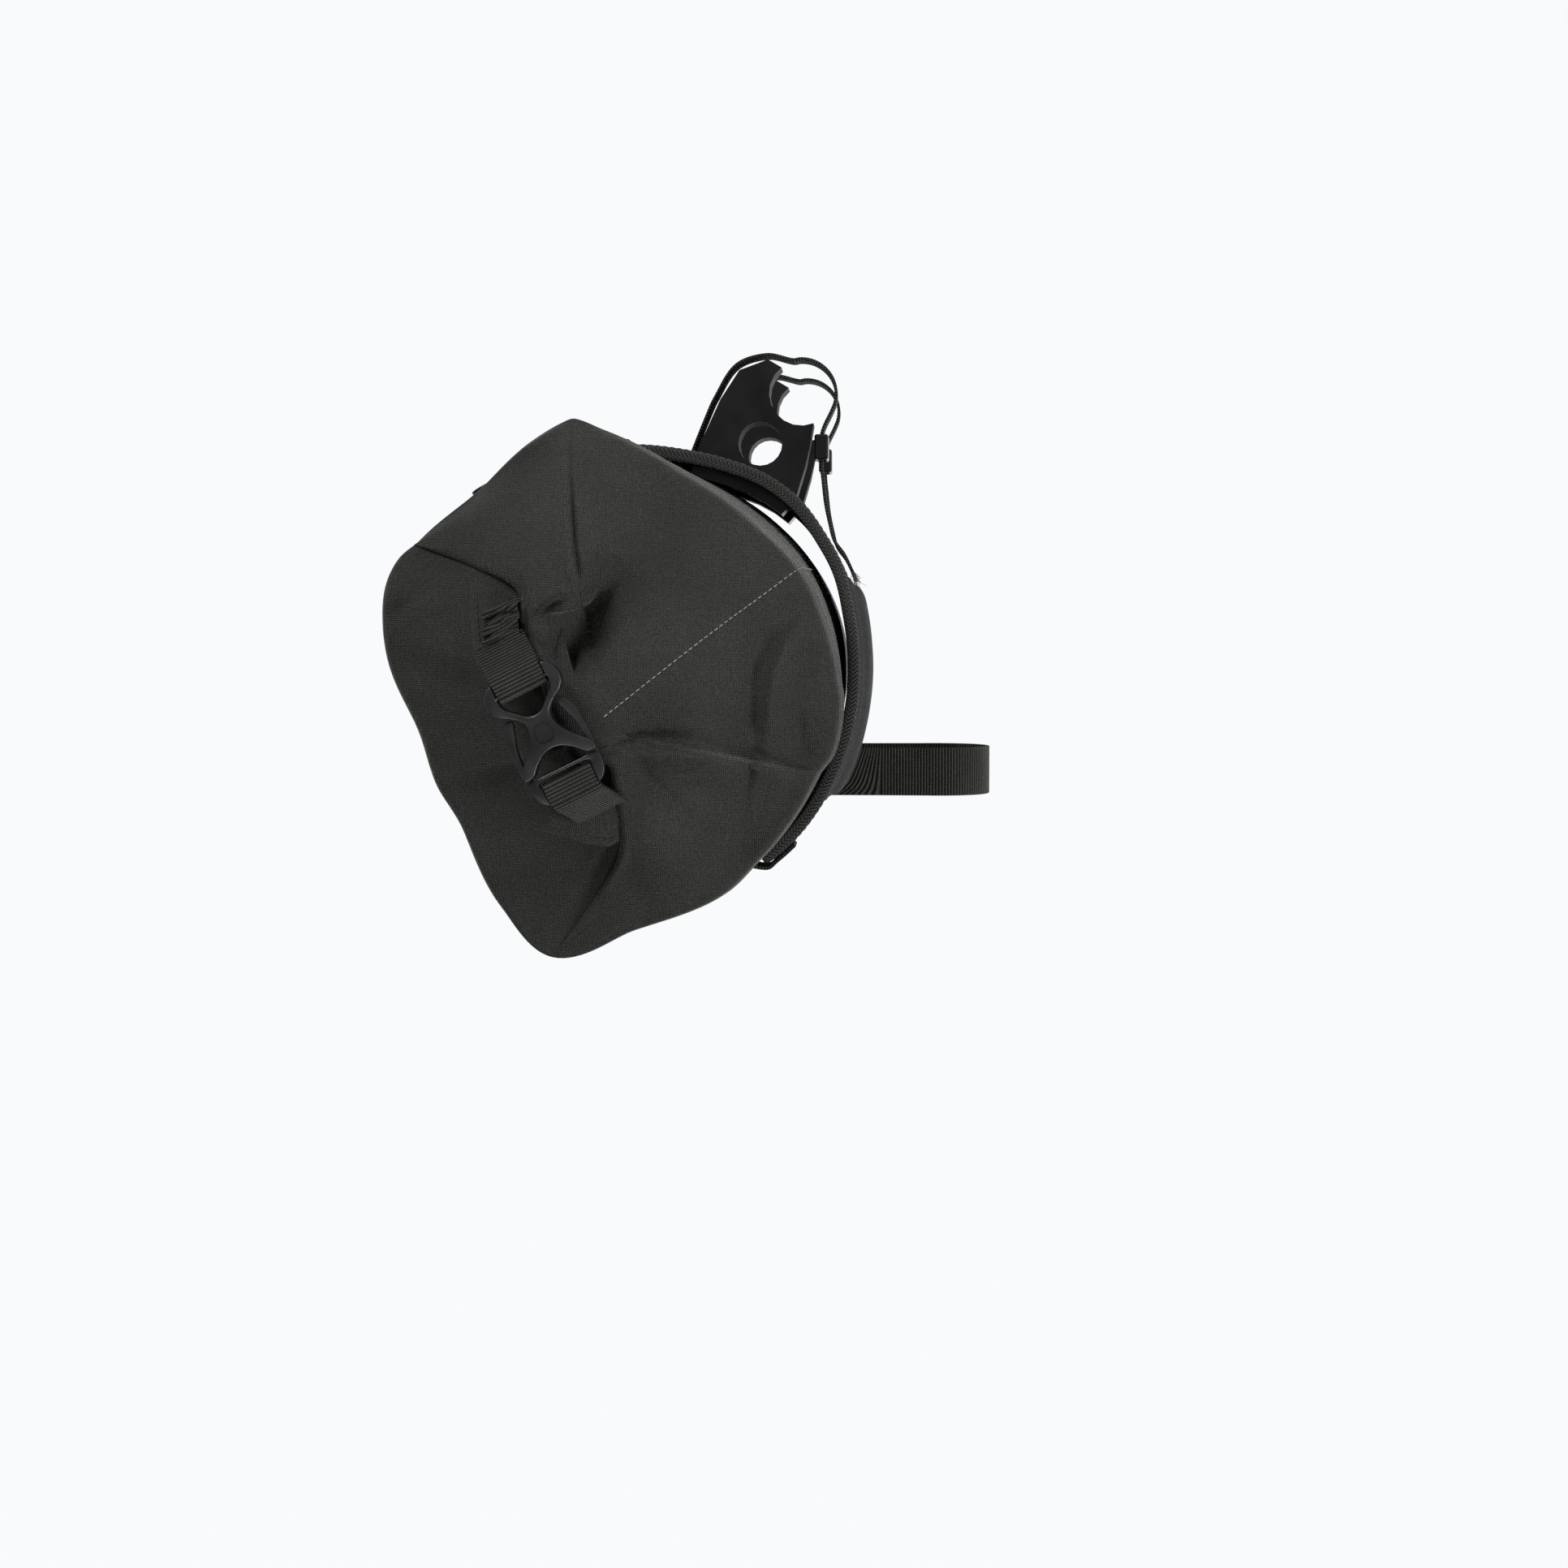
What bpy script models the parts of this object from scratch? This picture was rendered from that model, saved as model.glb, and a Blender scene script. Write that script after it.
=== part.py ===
import math

import bmesh
import bpy
import numpy as np
from mathutils import Matrix, Vector

# Handlebar roll bag in its harness. Metres, +Z up, Y along the handlebar, -X is forward.
# The origin is the centre of the handlebar clamp area.

# Bag body
BAG_RADIUS = 0.105
BAG_LENGTH = 0.400
BAG_DROP = 0.145
BAG_REACH = 0.082
BODY_TALL = 0.035
BODY_TALL_ANGLE = 110.0
FABRIC_THICKNESS = 0.0015
FAR_DOME = 0.016

# Folded mouth end
END_HEIGHT = 0.050
SHOULDER_HEIGHT = 0.016
HEM_STEP = 0.0075
HEM_OVERHANG = 0.0035
MOUTH_SLIT = 0.0022
MOUTH_SLIT_OUT = 0.020
MOUTH_SLIT_IN = 0.006
MOUTH_START = 0.34
MOUTH_END = 0.62

# Webbing and closure strips
WEBBING_WIDTH = 0.025
MOUTH_WEBBING_WIDTH = 0.0232
WEBBING_THICKNESS = 0.0016
STRIP_THICKNESS = 0.0024
UPPER_WEBBING_REACH = 0.0460
UPPER_WEBBING_DIP = 0.0092
LOWER_WEBBING_REACH = 0.0440
LOWER_WEBBING_DIP = 0.0135

# Side release buckle of the mouth
BUCKLE_LENGTH = 0.058
BUCKLE_WIDTH = 0.036
BUCKLE_BAR_THICKNESS = 0.0034
SOCKET_THICKNESS = 0.0095
PLUG_THICKNESS = 0.0062
PRONG_THICKNESS = 0.0044
PRONG_WIDTH = 0.0036
BUCKLE_LIFT = 0.0085
BUCKLE_ANGLE = 26.6
BUCKLE_SIDE = -0.0238
BUCKLE_DROP = 0.0180

# Harness
HARNESS_WIDTH = 0.200
HARNESS_THICKNESS = 0.0030
BINDING_WIDTH = 0.0055
BINDING_WALL = 0.0013
PAD_WIDTH = 0.120
PAD_THICKNESS = 0.0075

# Compression straps
STRAP_SPACING = 0.174
STRAP_BUCKLE_LENGTH = 0.046
STRAP_BUCKLE_WIDTH = 0.032
STRAP_BUCKLE_THICKNESS = 0.0105
STRAP_BUCKLE_ANGLE = 119.5
STRAP_BUCKLE_SHOULDER = 0.7
STRAP_BUCKLE_CROWN = 0.86
STRAP_BUCKLE_HALVES = [
    {"piece": "socket", "start": -0.02, "end": 1.0, "thick": 1.0},
    {"piece": "plug", "start": -1.0, "end": -0.06, "thick": 0.72},
]
STRAP_BUCKLE_CORNERS = [
    {"along": 0.0, "aside": 0.86},
    {"along": 0.25, "aside": 1.0},
    {"along": 0.8, "aside": 0.94},
    {"along": 1.0, "aside": 0.80},
]

# Handlebar spacers and their straps
HANDLEBAR_DIAMETER = 0.0318
SPACER_SPACING = 0.114
SPACER_WIDTH = 0.026
SPACER_HOLE_DIAMETER = 0.022
SPACER_HOLE_FORWARD = 0.0206
SPACER_HOLE_DROP = 0.0251
BAR_STRAP_WIDTH = 0.020
LOCK_WIDTH = 0.026
LOCK_HEIGHT = 0.0125
LOCK_DEPTH = 0.0070
BACK_PLATE_THICKNESS = 0.0060
BACK_PLATE_REST = 0.0012

# Head tube strap
TUBE_STRAP_HEIGHT = 0.025
TUBE_STRAP_LOW = 0.047
TUBE_LOOP_RADIUS = 0.027
TUBE_CENTRE_BACK = 0.1520
TUBE_STRAP_START = 0.1106
TUBE_STRAP_SPREAD = 0.0240
TUBE_STRAP_SLANT = 0.0070

# Fits
GAP = 0.0003
FACET_GAP = 0.0006

# Outline of the near rim, seen from the rider's left: reach is a share of the bag radius.
RIM = [
    {"angle": 4, "reach": 0.984},
    {"angle": 18, "reach": 0.970},
    {"angle": 31, "reach": 0.972},
    {"angle": 49, "reach": 0.955},
    {"angle": 71, "reach": 0.988},
    {"angle": 82, "reach": 1.048},
    {"angle": 92, "reach": 1.120},
    {"angle": 96.5, "reach": 1.166},
    {"angle": 98.4, "reach": 1.180},
    {"angle": 100.5, "reach": 1.172},
    {"angle": 109, "reach": 1.122},
    {"angle": 124, "reach": 1.035},
    {"angle": 142, "reach": 1.057},
    {"angle": 149, "reach": 1.089},
    {"angle": 157, "reach": 1.079},
    {"angle": 171, "reach": 1.002},
    {"angle": 191, "reach": 0.872},
    {"angle": 209, "reach": 0.880},
    {"angle": 223, "reach": 0.903},
    {"angle": 242.5, "reach": 1.073},
    {"angle": 257, "reach": 1.201},
    {"angle": 275, "reach": 1.053},
    {"angle": 300, "reach": 1.011},
    {"angle": 311, "reach": 0.978},
    {"angle": 337, "reach": 0.969},
    {"angle": 344, "reach": 1.001},
    {"angle": 357, "reach": 1.001},
]

# Body sections: along is a share of the length from the near rim, eared how much of the rim outline is kept.
BODY = [
    {"along": 0.0, "eared": 1.0, "girth": 1.0},
    {"along": 0.04, "eared": 0.88, "girth": 1.0},
    {"along": 0.11, "eared": 0.66, "girth": 0.997},
    {"along": 0.19, "eared": 0.42, "girth": 0.990},
    {"along": 0.25, "eared": 0.28, "girth": 0.983},
    {"along": 0.34, "eared": 0.14, "girth": 0.992},
    {"along": 0.50, "eared": 0.05, "girth": 1.0},
    {"along": 0.66, "eared": 0.0, "girth": 0.992},
    {"along": 0.75, "eared": 0.0, "girth": 0.983},
    {"along": 0.86, "eared": 0.0, "girth": 0.997},
    {"along": 1.0, "eared": 0.0, "girth": 0.985},
]

# Far end rows: girth share and share of the far dome.
FAR_END = [
    {"girth": 0.955, "dome": 0.30},
    {"girth": 0.86, "dome": 0.62},
    {"girth": 0.50, "dome": 0.93},
]

# Folded edge of the over layer: across and up are shares of the bag radius, height of the end height.
FOLD_EDGE = [
    {"along": 0.00, "across": -0.861, "up": 0.626, "height": 0.04},
    {"along": 0.10, "across": -0.724, "up": 0.581, "height": 0.26},
    {"along": 0.20, "across": -0.579, "up": 0.527, "height": 0.48},
    {"along": 0.31, "across": -0.370, "up": 0.420, "height": 0.80},
    {"along": 0.38, "across": -0.325, "up": 0.262, "height": 0.94},
    {"along": 0.47, "across": -0.275, "up": 0.076, "height": 1.00},
    {"along": 0.56, "across": -0.208, "up": -0.125, "height": 1.00},
    {"along": 0.65, "across": -0.128, "up": -0.290, "height": 1.00},
    {"along": 0.70, "across": 0.015, "up": -0.305, "height": 1.00},
    {"along": 0.75, "across": 0.032, "up": -0.400, "height": 0.93},
    {"along": 0.82, "across": 0.051, "up": -0.546, "height": 0.80},
    {"along": 0.89, "across": 0.038, "up": -0.712, "height": 0.62},
    {"along": 0.95, "across": -0.109, "up": -0.950, "height": 0.32},
    {"along": 1.00, "across": -0.262, "up": -1.155, "height": 0.03},
]

# Lines of the over layer from the rim to the folded edge, with the point where each bends.
OVER_LINES = [
    {"angle": 144, "edge": 0.0, "shoulder": 0.02, "across": -0.862, "up": 0.626, "height": 0.03},
    {"angle": 131, "edge": 0.10, "shoulder": 0.30, "across": -0.700, "up": 0.700, "height": 0.20},
    {"angle": 117, "edge": 0.20, "shoulder": 0.50, "across": -0.530, "up": 0.730, "height": 0.38},
    {"angle": 105, "edge": 0.29, "shoulder": 0.46, "across": -0.280, "up": 0.640, "height": 0.66},
    {"angle": 98.4, "edge": 0.345, "shoulder": 0.34, "across": -0.105, "up": 0.416, "height": 1.12},
    {"angle": 91, "edge": 0.375, "shoulder": 0.46, "across": -0.015, "up": 0.440, "height": 0.80},
    {"angle": 80, "edge": 0.42, "shoulder": 0.70, "across": 0.090, "up": 0.420, "height": 0.73},
    {"angle": 62, "edge": 0.48, "shoulder": 1.0, "across": 0.200, "up": 0.340, "height": 0.76},
    {"angle": 42, "edge": 0.53, "shoulder": 1.0, "across": 0.300, "up": 0.230, "height": 0.79},
    {"angle": 22, "edge": 0.58, "shoulder": 1.0, "across": 0.370, "up": 0.080, "height": 0.81},
    {"angle": 2, "edge": 0.62, "shoulder": 1.0, "across": 0.410, "up": -0.060, "height": 0.80},
    {"angle": -11, "edge": 0.66, "shoulder": 0.9, "across": 0.410, "up": -0.180, "height": 0.80},
    {"angle": -21, "edge": 0.70, "shoulder": 0.75, "across": 0.380, "up": -0.285, "height": 0.90},
    {"angle": -33, "edge": 0.735, "shoulder": 0.8, "across": 0.380, "up": -0.410, "height": 0.70},
    {"angle": -49, "edge": 0.77, "shoulder": 0.9, "across": 0.330, "up": -0.560, "height": 0.63},
    {"angle": -65, "edge": 0.83, "shoulder": 0.9, "across": 0.235, "up": -0.720, "height": 0.58},
    {"angle": -81, "edge": 0.90, "shoulder": 0.7, "across": 0.100, "up": -0.860, "height": 0.43},
    {"angle": -93, "edge": 0.955, "shoulder": 0.30, "across": -0.080, "up": -1.020, "height": 0.20},
    {"angle": -103, "edge": 1.0, "shoulder": 0.02, "across": -0.263, "up": -1.156, "height": 0.02},
]

# Lines of the under layer at the front, from the rim to its tucked edge.
UNDER_LINES = [
    {"angle": 144, "edge": 0.0, "shoulder": 0.02, "lift": 0.50},
    {"angle": 153, "edge": 0.16, "shoulder": 0.50, "lift": 0.58},
    {"angle": 164, "edge": 0.32, "shoulder": 0.80, "lift": 0.62},
    {"angle": 178, "edge": 0.45, "shoulder": 0.90, "lift": 0.62},
    {"angle": 192, "edge": 0.56, "shoulder": 0.90, "lift": 0.60},
    {"angle": 208, "edge": 0.66, "shoulder": 0.80, "lift": 0.60},
    {"angle": 224, "edge": 0.77, "shoulder": 0.70, "lift": 0.62},
    {"angle": 240, "edge": 0.87, "shoulder": 0.50, "lift": 0.60},
    {"angle": 250, "edge": 0.95, "shoulder": 0.25, "lift": 0.55},
    {"angle": 257, "edge": 1.0, "shoulder": 0.02, "lift": 0.50},
]

# Folds and dents of the end: both ends and the width are shares of the bag radius, rise of the end height.
END_RELIEF = [
    {"from": (0.02, 0.46), "to": (-0.13, 0.16), "width": 0.085, "rise": -0.13},
    {"from": (0.87, 0.10), "to": (0.64, -0.25), "width": 0.10, "rise": -0.10},
    {"from": (0.76, -0.02), "to": (0.72, -0.30), "width": 0.09, "rise": 0.05},
    {"from": (0.22, -0.26), "to": (0.62, -0.73), "width": 0.13, "rise": -0.10},
    {"from": (-0.17, 1.10), "to": (-0.13, 0.60), "width": 0.045, "rise": 0.06},
    {"from": (-0.95, 0.42), "to": (-0.60, 0.34), "width": 0.09, "rise": 0.04},
    {"from": (-0.98, 0.14), "to": (-0.62, 0.02), "width": 0.08, "rise": -0.04},
    {"from": (-0.50, -0.85), "to": (-0.10, -0.62), "width": 0.09, "rise": 0.04},
]

# Overlapping folds of the end. Each path row is across, up and strength, and high is the side that lies on top:
# 1 for the left of the path, -1 for its right. Rises are shares of the end height, widths of the bag radius.
END_LIPS = [
    {
        "path": [(-0.185, 1.15, 0.15), (-0.179, 1.0, 0.45), (-0.155, 0.75, 0.8), (-0.132, 0.563, 0.95),
                 (-0.109, 0.419, 1.0), (-0.205, 0.383, 0.7), (-0.299, 0.312, 0.3)],
        "high": -1, "rise": 0.03, "rise_width": 0.06, "dip": 0.15, "dip_width": 0.12, "step": 0.006,
    },
    {
        "path": [(0.027, -0.226, 0.3), (0.147, -0.197, 1.0), (0.277, -0.22, 1.0), (0.443, -0.257, 0.95),
                 (0.573, -0.289, 0.9), (0.747, -0.33, 0.8), (0.904, -0.344, 0.3)],
        "high": -1, "rise": 0.07, "rise_width": 0.10, "dip": 0.10, "dip_width": 0.12, "step": 0.008,
    },
    {
        "path": [(0.833, 0.317, 0.2), (0.737, 0.237, 0.8), (0.676, 0.086, 1.0), (0.643, -0.145, 1.0),
                 (0.625, -0.278, 0.6)],
        "high": 1, "rise": 0.09, "rise_width": 0.11, "dip": 0.07, "dip_width": 0.13, "step": 0.030,
    },
    {
        "path": [(0.172, -0.228, 0.4), (0.195, -0.344, 1.0), (0.308, -0.47, 1.0), (0.524, -0.619, 0.3)],
        "high": 1, "rise": 0.035, "rise_width": 0.10, "dip": 0.04, "dip_width": 0.09, "step": 0.025,
    },
]

OVER_PANEL_COLUMNS = [(144, 98.4, 8), (98.4, -21, 20), (-21, -103, 14)]
UNDER_PANEL_COLUMNS = [(144, 257, 18)]
CALM_START = 0.20
CALM_END = 0.12
CALM_EDGE = 0.4
END_ROWS = [0.07, 0.16, 0.28, 0.40, 0.50, 0.60, 0.70, 0.80, 0.88, 0.95, 1.0]

# Outer surface of the harness near edge: angle from the back of the bag, reach a share of its radius.
HARNESS = [
    {"angle": -54, "reach": 1.040},
    {"angle": -44, "reach": 1.040},
    {"angle": -23, "reach": 1.034},
    {"angle": -1, "reach": 1.046},
    {"angle": 17, "reach": 1.074},
    {"angle": 29, "reach": 1.112},
    {"angle": 38, "reach": 1.128},
    {"angle": 48, "reach": 1.150},
    {"angle": 58, "reach": 1.146},
    {"angle": 68, "reach": 1.124},
    {"angle": 78, "reach": 1.108},
    {"angle": 88, "reach": 1.106},
    {"angle": 100, "reach": 1.110},
]
HARNESS_TOP = 100.0
HARNESS_BOTTOM = -54.0
HARNESS_STEPS = 26
PAD_TOP = 27.0
PAD_BOTTOM = -33.0
PAD_STEPS = 10
PAD_EDGE = 0.42
PAD_EDGE_SHARE = 0.06
PAD_ROUNDING = 0.45
PAD_PROFILE = [
    {"aside": -0.5, "full": 0.42},
    {"aside": -0.4, "full": 0.92},
    {"aside": 0.0, "full": 1.0},
    {"aside": 0.4, "full": 0.92},
    {"aside": 0.5, "full": 0.42},
]

# Half outline of the buckle socket: along and aside are shares of the buckle length and width.
SOCKET_OUTLINE = [
    {"along": -0.500, "aside": 0.27},
    {"along": -0.500, "aside": 0.37},
    {"along": -0.455, "aside": 0.45},
    {"along": -0.370, "aside": 0.495},
    {"along": -0.305, "aside": 0.475},
    {"along": -0.250, "aside": 0.40},
    {"along": -0.215, "aside": 0.29},
    {"along": -0.150, "aside": 0.17},
    {"along": -0.060, "aside": 0.165},
    {"along": 0.025, "aside": 0.23},
    {"along": 0.100, "aside": 0.335},
    {"along": 0.180, "aside": 0.465},
    {"along": 0.240, "aside": 0.49},
    {"along": 0.262, "aside": 0.47},
    {"along": 0.258, "aside": 0.36},
    {"along": 0.185, "aside": 0.255},
    {"along": 0.130, "aside": 0.13},
    {"along": 0.112, "aside": 0.0},
]
SOCKET_WINDOW = [
    {"along": -0.405, "aside": 0.0},
    {"along": -0.405, "aside": 0.345},
    {"along": -0.310, "aside": 0.330},
    {"along": -0.255, "aside": 0.235},
    {"along": -0.175, "aside": 0.100},
    {"along": -0.160, "aside": 0.0},
]
PLUG_OUTLINE = [
    {"along": 0.275, "aside": 0.0},
    {"along": 0.275, "aside": 0.30},
    {"along": 0.275, "aside": 0.49},
    {"along": 0.380, "aside": 0.475},
    {"along": 0.450, "aside": 0.430},
    {"along": 0.500, "aside": 0.330},
    {"along": 0.500, "aside": 0.0},
]
PLUG_WINDOW = [
    {"along": 0.300, "aside": 0.0},
    {"along": 0.300, "aside": 0.350},
    {"along": 0.370, "aside": 0.350},
    {"along": 0.385, "aside": 0.0},
]
PRONG_PATH = [
    {"along": 0.300, "aside": 0.440},
    {"along": 0.130, "aside": 0.455},
    {"along": -0.040, "aside": 0.430},
    {"along": -0.130, "aside": 0.390},
    {"along": -0.205, "aside": 0.330},
]

# Ends of the mouth's stiff strip: left and right edge of each row as across, up and height shares.
UPPER_STRIP = [
    {"left": (-0.570, 0.515, 0.402), "right": (-0.372, 0.395, 0.72)},
    {"left": (-0.580, 0.400, 0.60), "right": (-0.375, 0.300, 0.82)},
    {"left": (-0.555, 0.200, 0.78), "right": (-0.355, 0.215, 0.93)},
    {"left": (-0.535, 0.090, 0.84), "right": (-0.350, 0.175, 0.97)},
]
LOWER_STRIP = [
    {"left": (0.050, -0.480, 0.800), "right": (0.058, -0.630, 0.665)},
    {"left": (-0.020, -0.460, 0.88), "right": (0.000, -0.655, 0.72)},
    {"left": (-0.215, -0.475, 0.95), "right": (-0.255, -0.585, 0.88)},
]

# Gathered start of the upper webbing in its buckle's frame, as shares of the buckle length.
GATHER = [
    {"along": -1.050, "aside": 0.120, "height": -0.225},
    {"along": -0.990, "aside": 0.095, "height": -0.160},
    {"along": -0.955, "aside": 0.080, "height": -0.205},
    {"along": -0.895, "aside": 0.050, "height": -0.120},
    {"along": -0.860, "aside": 0.035, "height": -0.165},
    {"along": -0.825, "aside": 0.010, "height": -0.095},
]
GATHER_WIDTH = 0.76

# Spacer side outline in shares of the handlebar radius, from the front foot up and round to the back.
SPACER_FRONT = [
    {"back": -2.81, "up": -0.75},
    {"back": -2.55, "up": -0.19},
    {"back": -1.95, "up": 0.72},
    {"back": -1.05, "up": 1.05},
]
SPACER_BACK = [
    {"back": 0.33, "up": -1.25},
    {"back": 0.12, "up": -2.30},
]
SPACER_FOOT_FRONT = 75.8
SPACER_FOOT_BACK = 49.5
SADDLE_FROM = 128.0
SADDLE_TO = 292.0

# Side line of the handlebar strap in shares of the handlebar radius, from the front foot over the bar to the tail.
BAR_STRAP_FOOT = 77.0
BAR_STRAP_FRONT = [
    {"back": -3.02, "up": -0.76},
    {"back": -2.72, "up": -0.10},
    {"back": -2.06, "up": 0.90},
    {"back": -1.10, "up": 1.22},
]
LOCK_PLACE = {"back": 0.630, "up": -1.68}
BAR_STRAP_TAIL = [
    {"back": 0.64, "up": -1.25},
    {"back": 0.62, "up": -2.10},
    {"back": 0.68, "up": -2.75},
    {"back": 0.76, "up": -3.45},
    {"back": 0.90, "up": -4.12},
    {"back": 1.04, "up": -4.62},
    {"back": 1.35, "up": -5.05},
    {"back": 1.63, "up": -5.63},
]

OBJECT_NAME = "handlebar_bag"


def clean_scene():
    for old in list(bpy.data.objects):
        bpy.data.objects.remove(old, do_unlink=True)
    for block in list(bpy.data.collections):
        bpy.data.collections.remove(block)


def make_material(name, colour, roughness, metallic=0.0):
    material = bpy.data.materials.new(name)
    material.use_nodes = True
    shader = material.node_tree.nodes["Principled BSDF"]
    shader.inputs["Base Color"].default_value = (*colour, 1.0)
    shader.inputs["Roughness"].default_value = roughness
    shader.inputs["Metallic"].default_value = metallic
    material.diffuse_color = (*colour, 1.0)
    return material


def column(rows, key, value, at, period=None):
    """Smooth value of one named column at a place along another."""
    xs = [row[key] for row in rows]
    ys = [row[value] for row in rows]
    if xs[0] > xs[-1]:
        xs.reverse()
        ys.reverse()
    if period:
        at = xs[0] + (at - xs[0]) % period
        xs = [xs[-1] - period, *xs, xs[0] + period, xs[1] + period]
        ys = [ys[-1], *ys, ys[0], ys[1]]
    slopes = []
    for i in range(len(xs)):
        low = max(i - 1, 0)
        high = min(i + 1, len(xs) - 1)
        slopes.append((ys[high] - ys[low]) / (xs[high] - xs[low]))
    at = min(max(at, xs[0]), xs[-1])
    i = min(max(int(np.searchsorted(xs, at, side="right")) - 1, 0), len(xs) - 2)
    span = xs[i + 1] - xs[i]
    t = (at - xs[i]) / span
    return (
        ys[i] * (1 + 2 * t) * (1 - t) ** 2
        + slopes[i] * span * t * (1 - t) ** 2
        + ys[i + 1] * t * t * (3 - 2 * t)
        + slopes[i + 1] * span * t * t * (t - 1)
    )


def body_reach(angle, along):
    """Outer radius of the bag at an angle and a share of its length."""
    eared = column(BODY, "along", "eared", along)
    girth = column(BODY, "along", "girth", along)
    rim = column(RIM, "angle", "reach", angle, 360)
    tall = 1.0 + BODY_TALL * math.cos(math.radians(angle - BODY_TALL_ANGLE))
    return BAG_RADIUS * girth * (eared * rim + (1 - eared) * tall)


def around(angle, reach, y):
    """Point at an angle and radius about the bag's axis."""
    turn = math.radians(angle)
    return Vector((reach * math.cos(turn) - BAG_REACH, y, reach * math.sin(turn) - BAG_DROP))


def along_to_y(along):
    return (along - 0.5) * BAG_LENGTH


def end_point(across, up, height):
    """Point of the mouth end from its shares of the radius and the end height."""
    return Vector((
        across * BAG_RADIUS - BAG_REACH,
        -BAG_LENGTH / 2 - height * END_HEIGHT,
        up * BAG_RADIUS - BAG_DROP,
    ))


def fold_point(edge):
    return np.array([column(FOLD_EDGE, "along", key, edge) for key in ("across", "up", "height")])


def hem_ramp(edge):
    """Share of the hem's full step, which runs out at both ends of the fold."""
    return min(1.0, edge / 0.12, (1.0 - edge) / 0.12)


def tuck_point(edge):
    """Edge of the under layer, below and behind the folded edge."""
    step = 0.01
    here = fold_point(edge)
    run = fold_point(min(edge + step, 1.0)) - fold_point(max(edge - step, 0.0))
    side = np.array([-run[1], run[0]])
    side = side / max(np.linalg.norm(side), 1e-9)
    ramp = hem_ramp(edge)
    here[:2] += side * ramp * HEM_OVERHANG / BAG_RADIUS
    here[2] -= ramp * HEM_STEP / END_HEIGHT
    return here


def relief(across, up):
    rise = 0.0
    here = np.array([across, up])
    for fold in END_RELIEF:
        start = np.array(fold["from"])
        run = np.array(fold["to"]) - start
        share = min(max(float(np.dot(here - start, run) / np.dot(run, run)), 0.0), 1.0)
        away = float(np.linalg.norm(here - start - share * run)) / fold["width"]
        rise += fold["rise"] * math.exp(-away * away)
    return rise


def lip_rise(across, up):
    """Height share of the overlapping folds: a step across each path, falling off to both sides."""
    total = 0.0
    point = Vector((across, up))
    for lip in END_LIPS:
        best = None
        for start, end in zip(lip["path"], lip["path"][1:]):
            first = Vector(start[:2])
            run = Vector(end[:2]) - first
            share = min(max((point - first).dot(run) / run.length_squared, 0.0), 1.0)
            away = point - first - share * run
            if best is None or away.length < best[0]:
                side = run.x * away.y - run.y * away.x
                best = (away.length, math.copysign(away.length, side), start[2] + (end[2] - start[2]) * share)
        distance, signed, strength = best
        over = 0.5 + 0.5 * math.tanh(signed * lip["high"] / lip["step"])
        high = lip["rise"] * math.exp(-((distance / lip["rise_width"]) ** 2))
        low = -lip["dip"] * math.exp(-distance / lip["dip_width"])
        total += strength * (over * high + (1 - over) * low)
    return total


def rim_share(angle):
    reach = column(RIM, "angle", "reach", angle, 360)
    turn = math.radians(angle)
    return np.array([reach * math.cos(turn), reach * math.sin(turn), 0.0])


def line_point(rim, shoulder, bend, edge, t):
    """Point on a line of the end that leaves the rim along the body and turns over the shoulder."""
    first = rim + (bend - rim) * 0.05
    first[2] = shoulder * SHOULDER_HEIGHT / END_HEIGHT * 0.72
    second = rim + (bend - rim) * 0.22
    second[2] = max(shoulder * SHOULDER_HEIGHT / END_HEIGHT, 0.30 * bend[2])
    knots = [
        {"t": 0.0, "x": rim[0], "z": rim[1], "h": 0.0},
        {"t": 0.07, "x": first[0], "z": first[1], "h": first[2]},
        {"t": 0.16, "x": second[0], "z": second[1], "h": second[2]},
        {"t": 0.56, "x": bend[0], "z": bend[1], "h": bend[2]},
        {"t": 1.0, "x": edge[0], "z": edge[1], "h": edge[2]},
    ]
    point = np.array([column(knots, "t", key, t) for key in ("x", "z", "h")])
    calm = min(1.0, t / CALM_START) * min(1.0, (1.02 - t) / CALM_END)
    folds = relief(point[0], point[1]) + lip_rise(point[0], point[1])
    point[2] += folds * calm * min(1.0, edge[2] / CALM_EDGE)
    return point


def over_point(angle, t):
    edge = column(OVER_LINES, "angle", "edge", angle)
    bend = np.array([column(OVER_LINES, "angle", key, angle) for key in ("across", "up", "height")])
    shoulder = column(OVER_LINES, "angle", "shoulder", angle)
    return line_point(rim_share(angle), shoulder, bend, fold_point(edge), t)


def under_point(angle, t):
    edge = column(UNDER_LINES, "angle", "edge", angle)
    shoulder = column(UNDER_LINES, "angle", "shoulder", angle)
    tuck = tuck_point(edge)
    rim = rim_share(angle)
    bend = rim + (tuck - rim) * 0.5
    bend[2] = tuck[2] * column(UNDER_LINES, "angle", "lift", angle)
    return line_point(rim, shoulder, bend, tuck, t)


def panel_angles(spans):
    angles = []
    for start, end, count in spans:
        angles += [start + (end - start) * i / count for i in range(count)]
    return [*angles, spans[-1][1]]


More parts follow.
